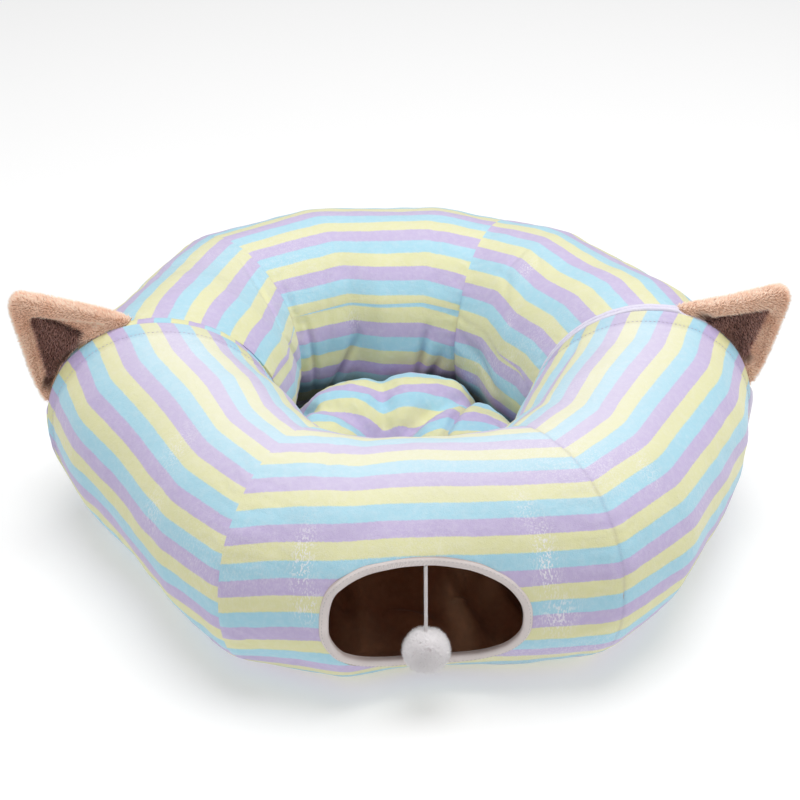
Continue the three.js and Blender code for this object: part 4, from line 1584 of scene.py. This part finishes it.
def cushion_sway(points):
    """How far the cloth's stripes are moved at each place, in millimetres.

    Away from the tuft they are drawn back, least at the far side. The right lobe is cut from
    another piece of cloth, whose stripes curve."""
    x, y = points[:, 0] / MM - TUFT["x"], points[:, 1] / MM
    left, right = np.maximum(-x, 0), np.maximum(x, 0)
    drawn = SWAY["left"] * (1 - np.exp(-((left / SWAY["left_reach"]) ** SWAY["bend"])))
    drawn = drawn + SWAY["right"] * (1 - np.exp(-right / SWAY["right_reach"]))
    drawn = drawn * held((SWAY["back"] - y) / SWAY["fade"])
    beyond = held(past_lobe(points) / 2)
    curved = LOBE["slide"] - LOBE["curve"] * (np.maximum(x - LOBE["middle"], 0) / 60) ** 2
    over = OVER_RIM["share"] * np.maximum(OVER_RIM["from"] - points[:, 2] / MM, 0) * held(y / 60)
    return -drawn * (1 - beyond) + curved * beyond + over + 2 * ripples(points, 0.07, 8, 65)


def dress_cushion(piece):
    finer = piece.modifiers.new("finer", "SUBSURF")
    finer.levels = finer.render_levels = 1
    apply_modifiers(piece)
    flat = points_of(piece)
    mesh = piece.data
    normals = np.array([v.normal for v in mesh.vertices])
    points = flat + normals * cushion_relief(flat)[:, None]
    down = pressed(flat)
    points[:, 2] = np.maximum(points[:, 2] - down, 0)
    set_points(piece, points)
    behind = flat[:, 1] / MM + cushion_sway(flat) - CUSHION_STRIPE["lemon_at"]
    stripe = behind / CUSHION_STRIPE["width"] + 0.5
    corners = np.array([loop.vertex_index for loop in mesh.loops])
    set_cloth(mesh, np.stack([flat[corners, 0], stripe[corners] / 3], 1))
    # Painted shade: in the creases, over the whole cushion and more on its right lobe, and under the rim
    shade = held(down / (CREASE_FULL * MM)) * CREASE_SHADE + CUSHION_SHADE
    shade = shade + LOBE_SHADE * held(past_lobe(flat) / 20)
    set_mark(mesh, "fold", np.minimum(shade, 1))
    set_mark(mesh, "deep", held((RIM["dark_from"] - points[:, 2] / MM) / RIM["fade"]))
    mesh.materials.clear()
    mesh.materials.append(PLUSH)
    shade_smooth(mesh)


dress_cushion(cushion)
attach(cushion, "root")
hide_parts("cushion")
print("cushion:", len(cushion.data.polygons), "faces")

# %% [markdown]
# ## Cord and pompom
# The cord is a round braid: four strands wind one way and four the other, and each passes over one
# and under the next. Where two strands cross, four times their angle is a whole number of half
# turns, so a cosine of it lifts one and sinks the other. The pompom is a ball of cut yarn ends.

# %% Cord
CORD = {"diameter": 0.004, "top": (6.0, -340.4, 165.7), "bottom": (6.0, -353.4, 91.7), "pitch": 0.011}
BRAID = {"Pitch": CORD["pitch"], "Middle": 0.00128, "Weave": 0.0002, "Strand": 0.00052, "Step": 0.0005}
CORE_RADIUS = 0.0011


def braid_strand(growth, line, way, index):
    """One strand of the braid: the line moved out to a helix and given a round section."""
    steps = growth.node("GeometryNodeResampleCurve", {"mode": "LENGTH"}, line, Length=growth.given("Step"))
    length = growth.node("GeometryNodeSplineParameter", {}, out="Length")
    angle = length * (way * 2 * math.pi) / growth.given("Pitch") + index * math.pi / 2
    radius = growth.given("Middle") + (angle * 4).cosine() * growth.given("Weave") * way
    first = growth.node("GeometryNodeInputNormal", {})
    second = growth.vector("CROSS_PRODUCT", first, growth.node("GeometryNodeInputTangent", {}))
    aside = growth.vector("SCALE", first, Scale=radius * angle.cosine())
    ahead = growth.vector("SCALE", second, Scale=radius * angle.sine())
    moved = growth.node("GeometryNodeSetPosition", {}, steps, Offset=growth.vector("ADD", aside, ahead))
    thick = growth.given("Strand")
    section = growth.node("GeometryNodeCurvePrimitiveCircle", {}, Resolution=6, Radius=thick)
    return growth.node("GeometryNodeCurveToMesh", {}, moved, section, Fill_Caps=True)


def make_cord():
    top, bottom = np.array(CORD["top"]) * MM, np.array(CORD["bottom"]) * MM
    route = np.array([top + (bottom - top) * f for f in np.linspace(0, 1, 24)])
    growth = Growth("braid", **BRAID)
    line = growth.node("GeometryNodeMeshToCurve", {}, growth.given("Surface"))
    join = growth.tree.nodes.new("GeometryNodeJoinGeometry")
    for way in (1, -1):
        for index in range(4):
            growth.feed(join.inputs[0], braid_strand(growth, line, way, index))
    section = growth.node("GeometryNodeCurvePrimitiveCircle", {}, Resolution=8, Radius=CORE_RADIUS)
    growth.feed(join.inputs[0], growth.node("GeometryNodeCurveToMesh", {}, line, section, Fill_Caps=True))
    path = line_mesh("cord_line", route, closed=False)
    piece = growth.grown(path, "braid", Value(growth, join.outputs[0]), CORD_YARN)
    bpy.data.objects.remove(path)
    return piece, route


braid, cord_route = make_cord()

# %% Pompom
POMPOM = {"core": 0.0185, "lumps": 0.05, "seed": 41, "below_cord": 0.0168}
YARN_LOCK = {"length": 0.0064, "width": 0.0010, "density": 2900000.0, "lean": 0.1, "stray": 0.8}


def make_pompom():
    low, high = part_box("pompom")
    way = (Vector(CORD["bottom"]) - Vector(CORD["top"])).normalized()
    middle = Vector(CORD["bottom"]) * MM + way * POMPOM["below_cord"]
    made = bmesh.new()
    bmesh.ops.create_icosphere(made, subdivisions=4, radius=POMPOM["core"])
    core = np.array([v.co for v in made.verts])
    lumps = 1 + POMPOM["lumps"] * ripples(core, 0.02, 8, POMPOM["seed"])
    for vert, lump in zip(made.verts, lumps):
        vert.co = vert.co * float(lump) + middle
    mesh = bpy.data.meshes.new("pompom_core")
    made.to_mesh(mesh)
    made.free()
    mesh.materials.append(YARN)
    shade_smooth(mesh)
    print("pompom at", [round(c, 4) for c in middle], "in", low, high)
    return new_piece("pompom_core", mesh)


pompom = make_pompom()
yarn = fur("pompom_yarn", pompom, YARN, comb=(0.0, 0.0, -1.0), seed=POMPOM["seed"], **YARN_LOCK)
for piece in (braid, pompom, yarn):
    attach(piece, "root")
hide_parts("pompom_cord")
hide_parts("pompom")

# %% [markdown]
# ## Floor
# A plain pale floor, which isn't part of the bed. It glows faintly, so that it stays as white as
# studio paper, but not under the bed, where the gaps have to stay dark.

# %% Floor
FLOOR_REACH = 8
PAPER = {"Base_Color": (0.70, 0.70, 0.70, 1), "Emission_Strength": 0.34}
GLOW = {"from": 0.18, "full": 0.32}
floor_corners = [(x * FLOOR_REACH, y * FLOOR_REACH, 0) for x, y in ((-1, -1), (1, -1), (1, 1), (-1, 1))]
floor_mesh = bpy.data.meshes.new("floor")
floor_mesh.from_pydata(floor_corners, [], [(0, 1, 2, 3)])
paper = Finish("floor", Roughness=0.95, **PAPER)
out_of_bed = paper.node("ShaderNodeVectorMath", {"operation": "LENGTH"}, paper.place(), out="Value")
glow = paper.mix(out_of_bed.between(GLOW["from"], GLOW["full"]), (0.0, 0.0, 0.0), (1.0, 1.0, 1.0))
floor_mesh.materials.append(paper.ends(Emission_Color=glow))
new_piece("floor", floor_mesh)
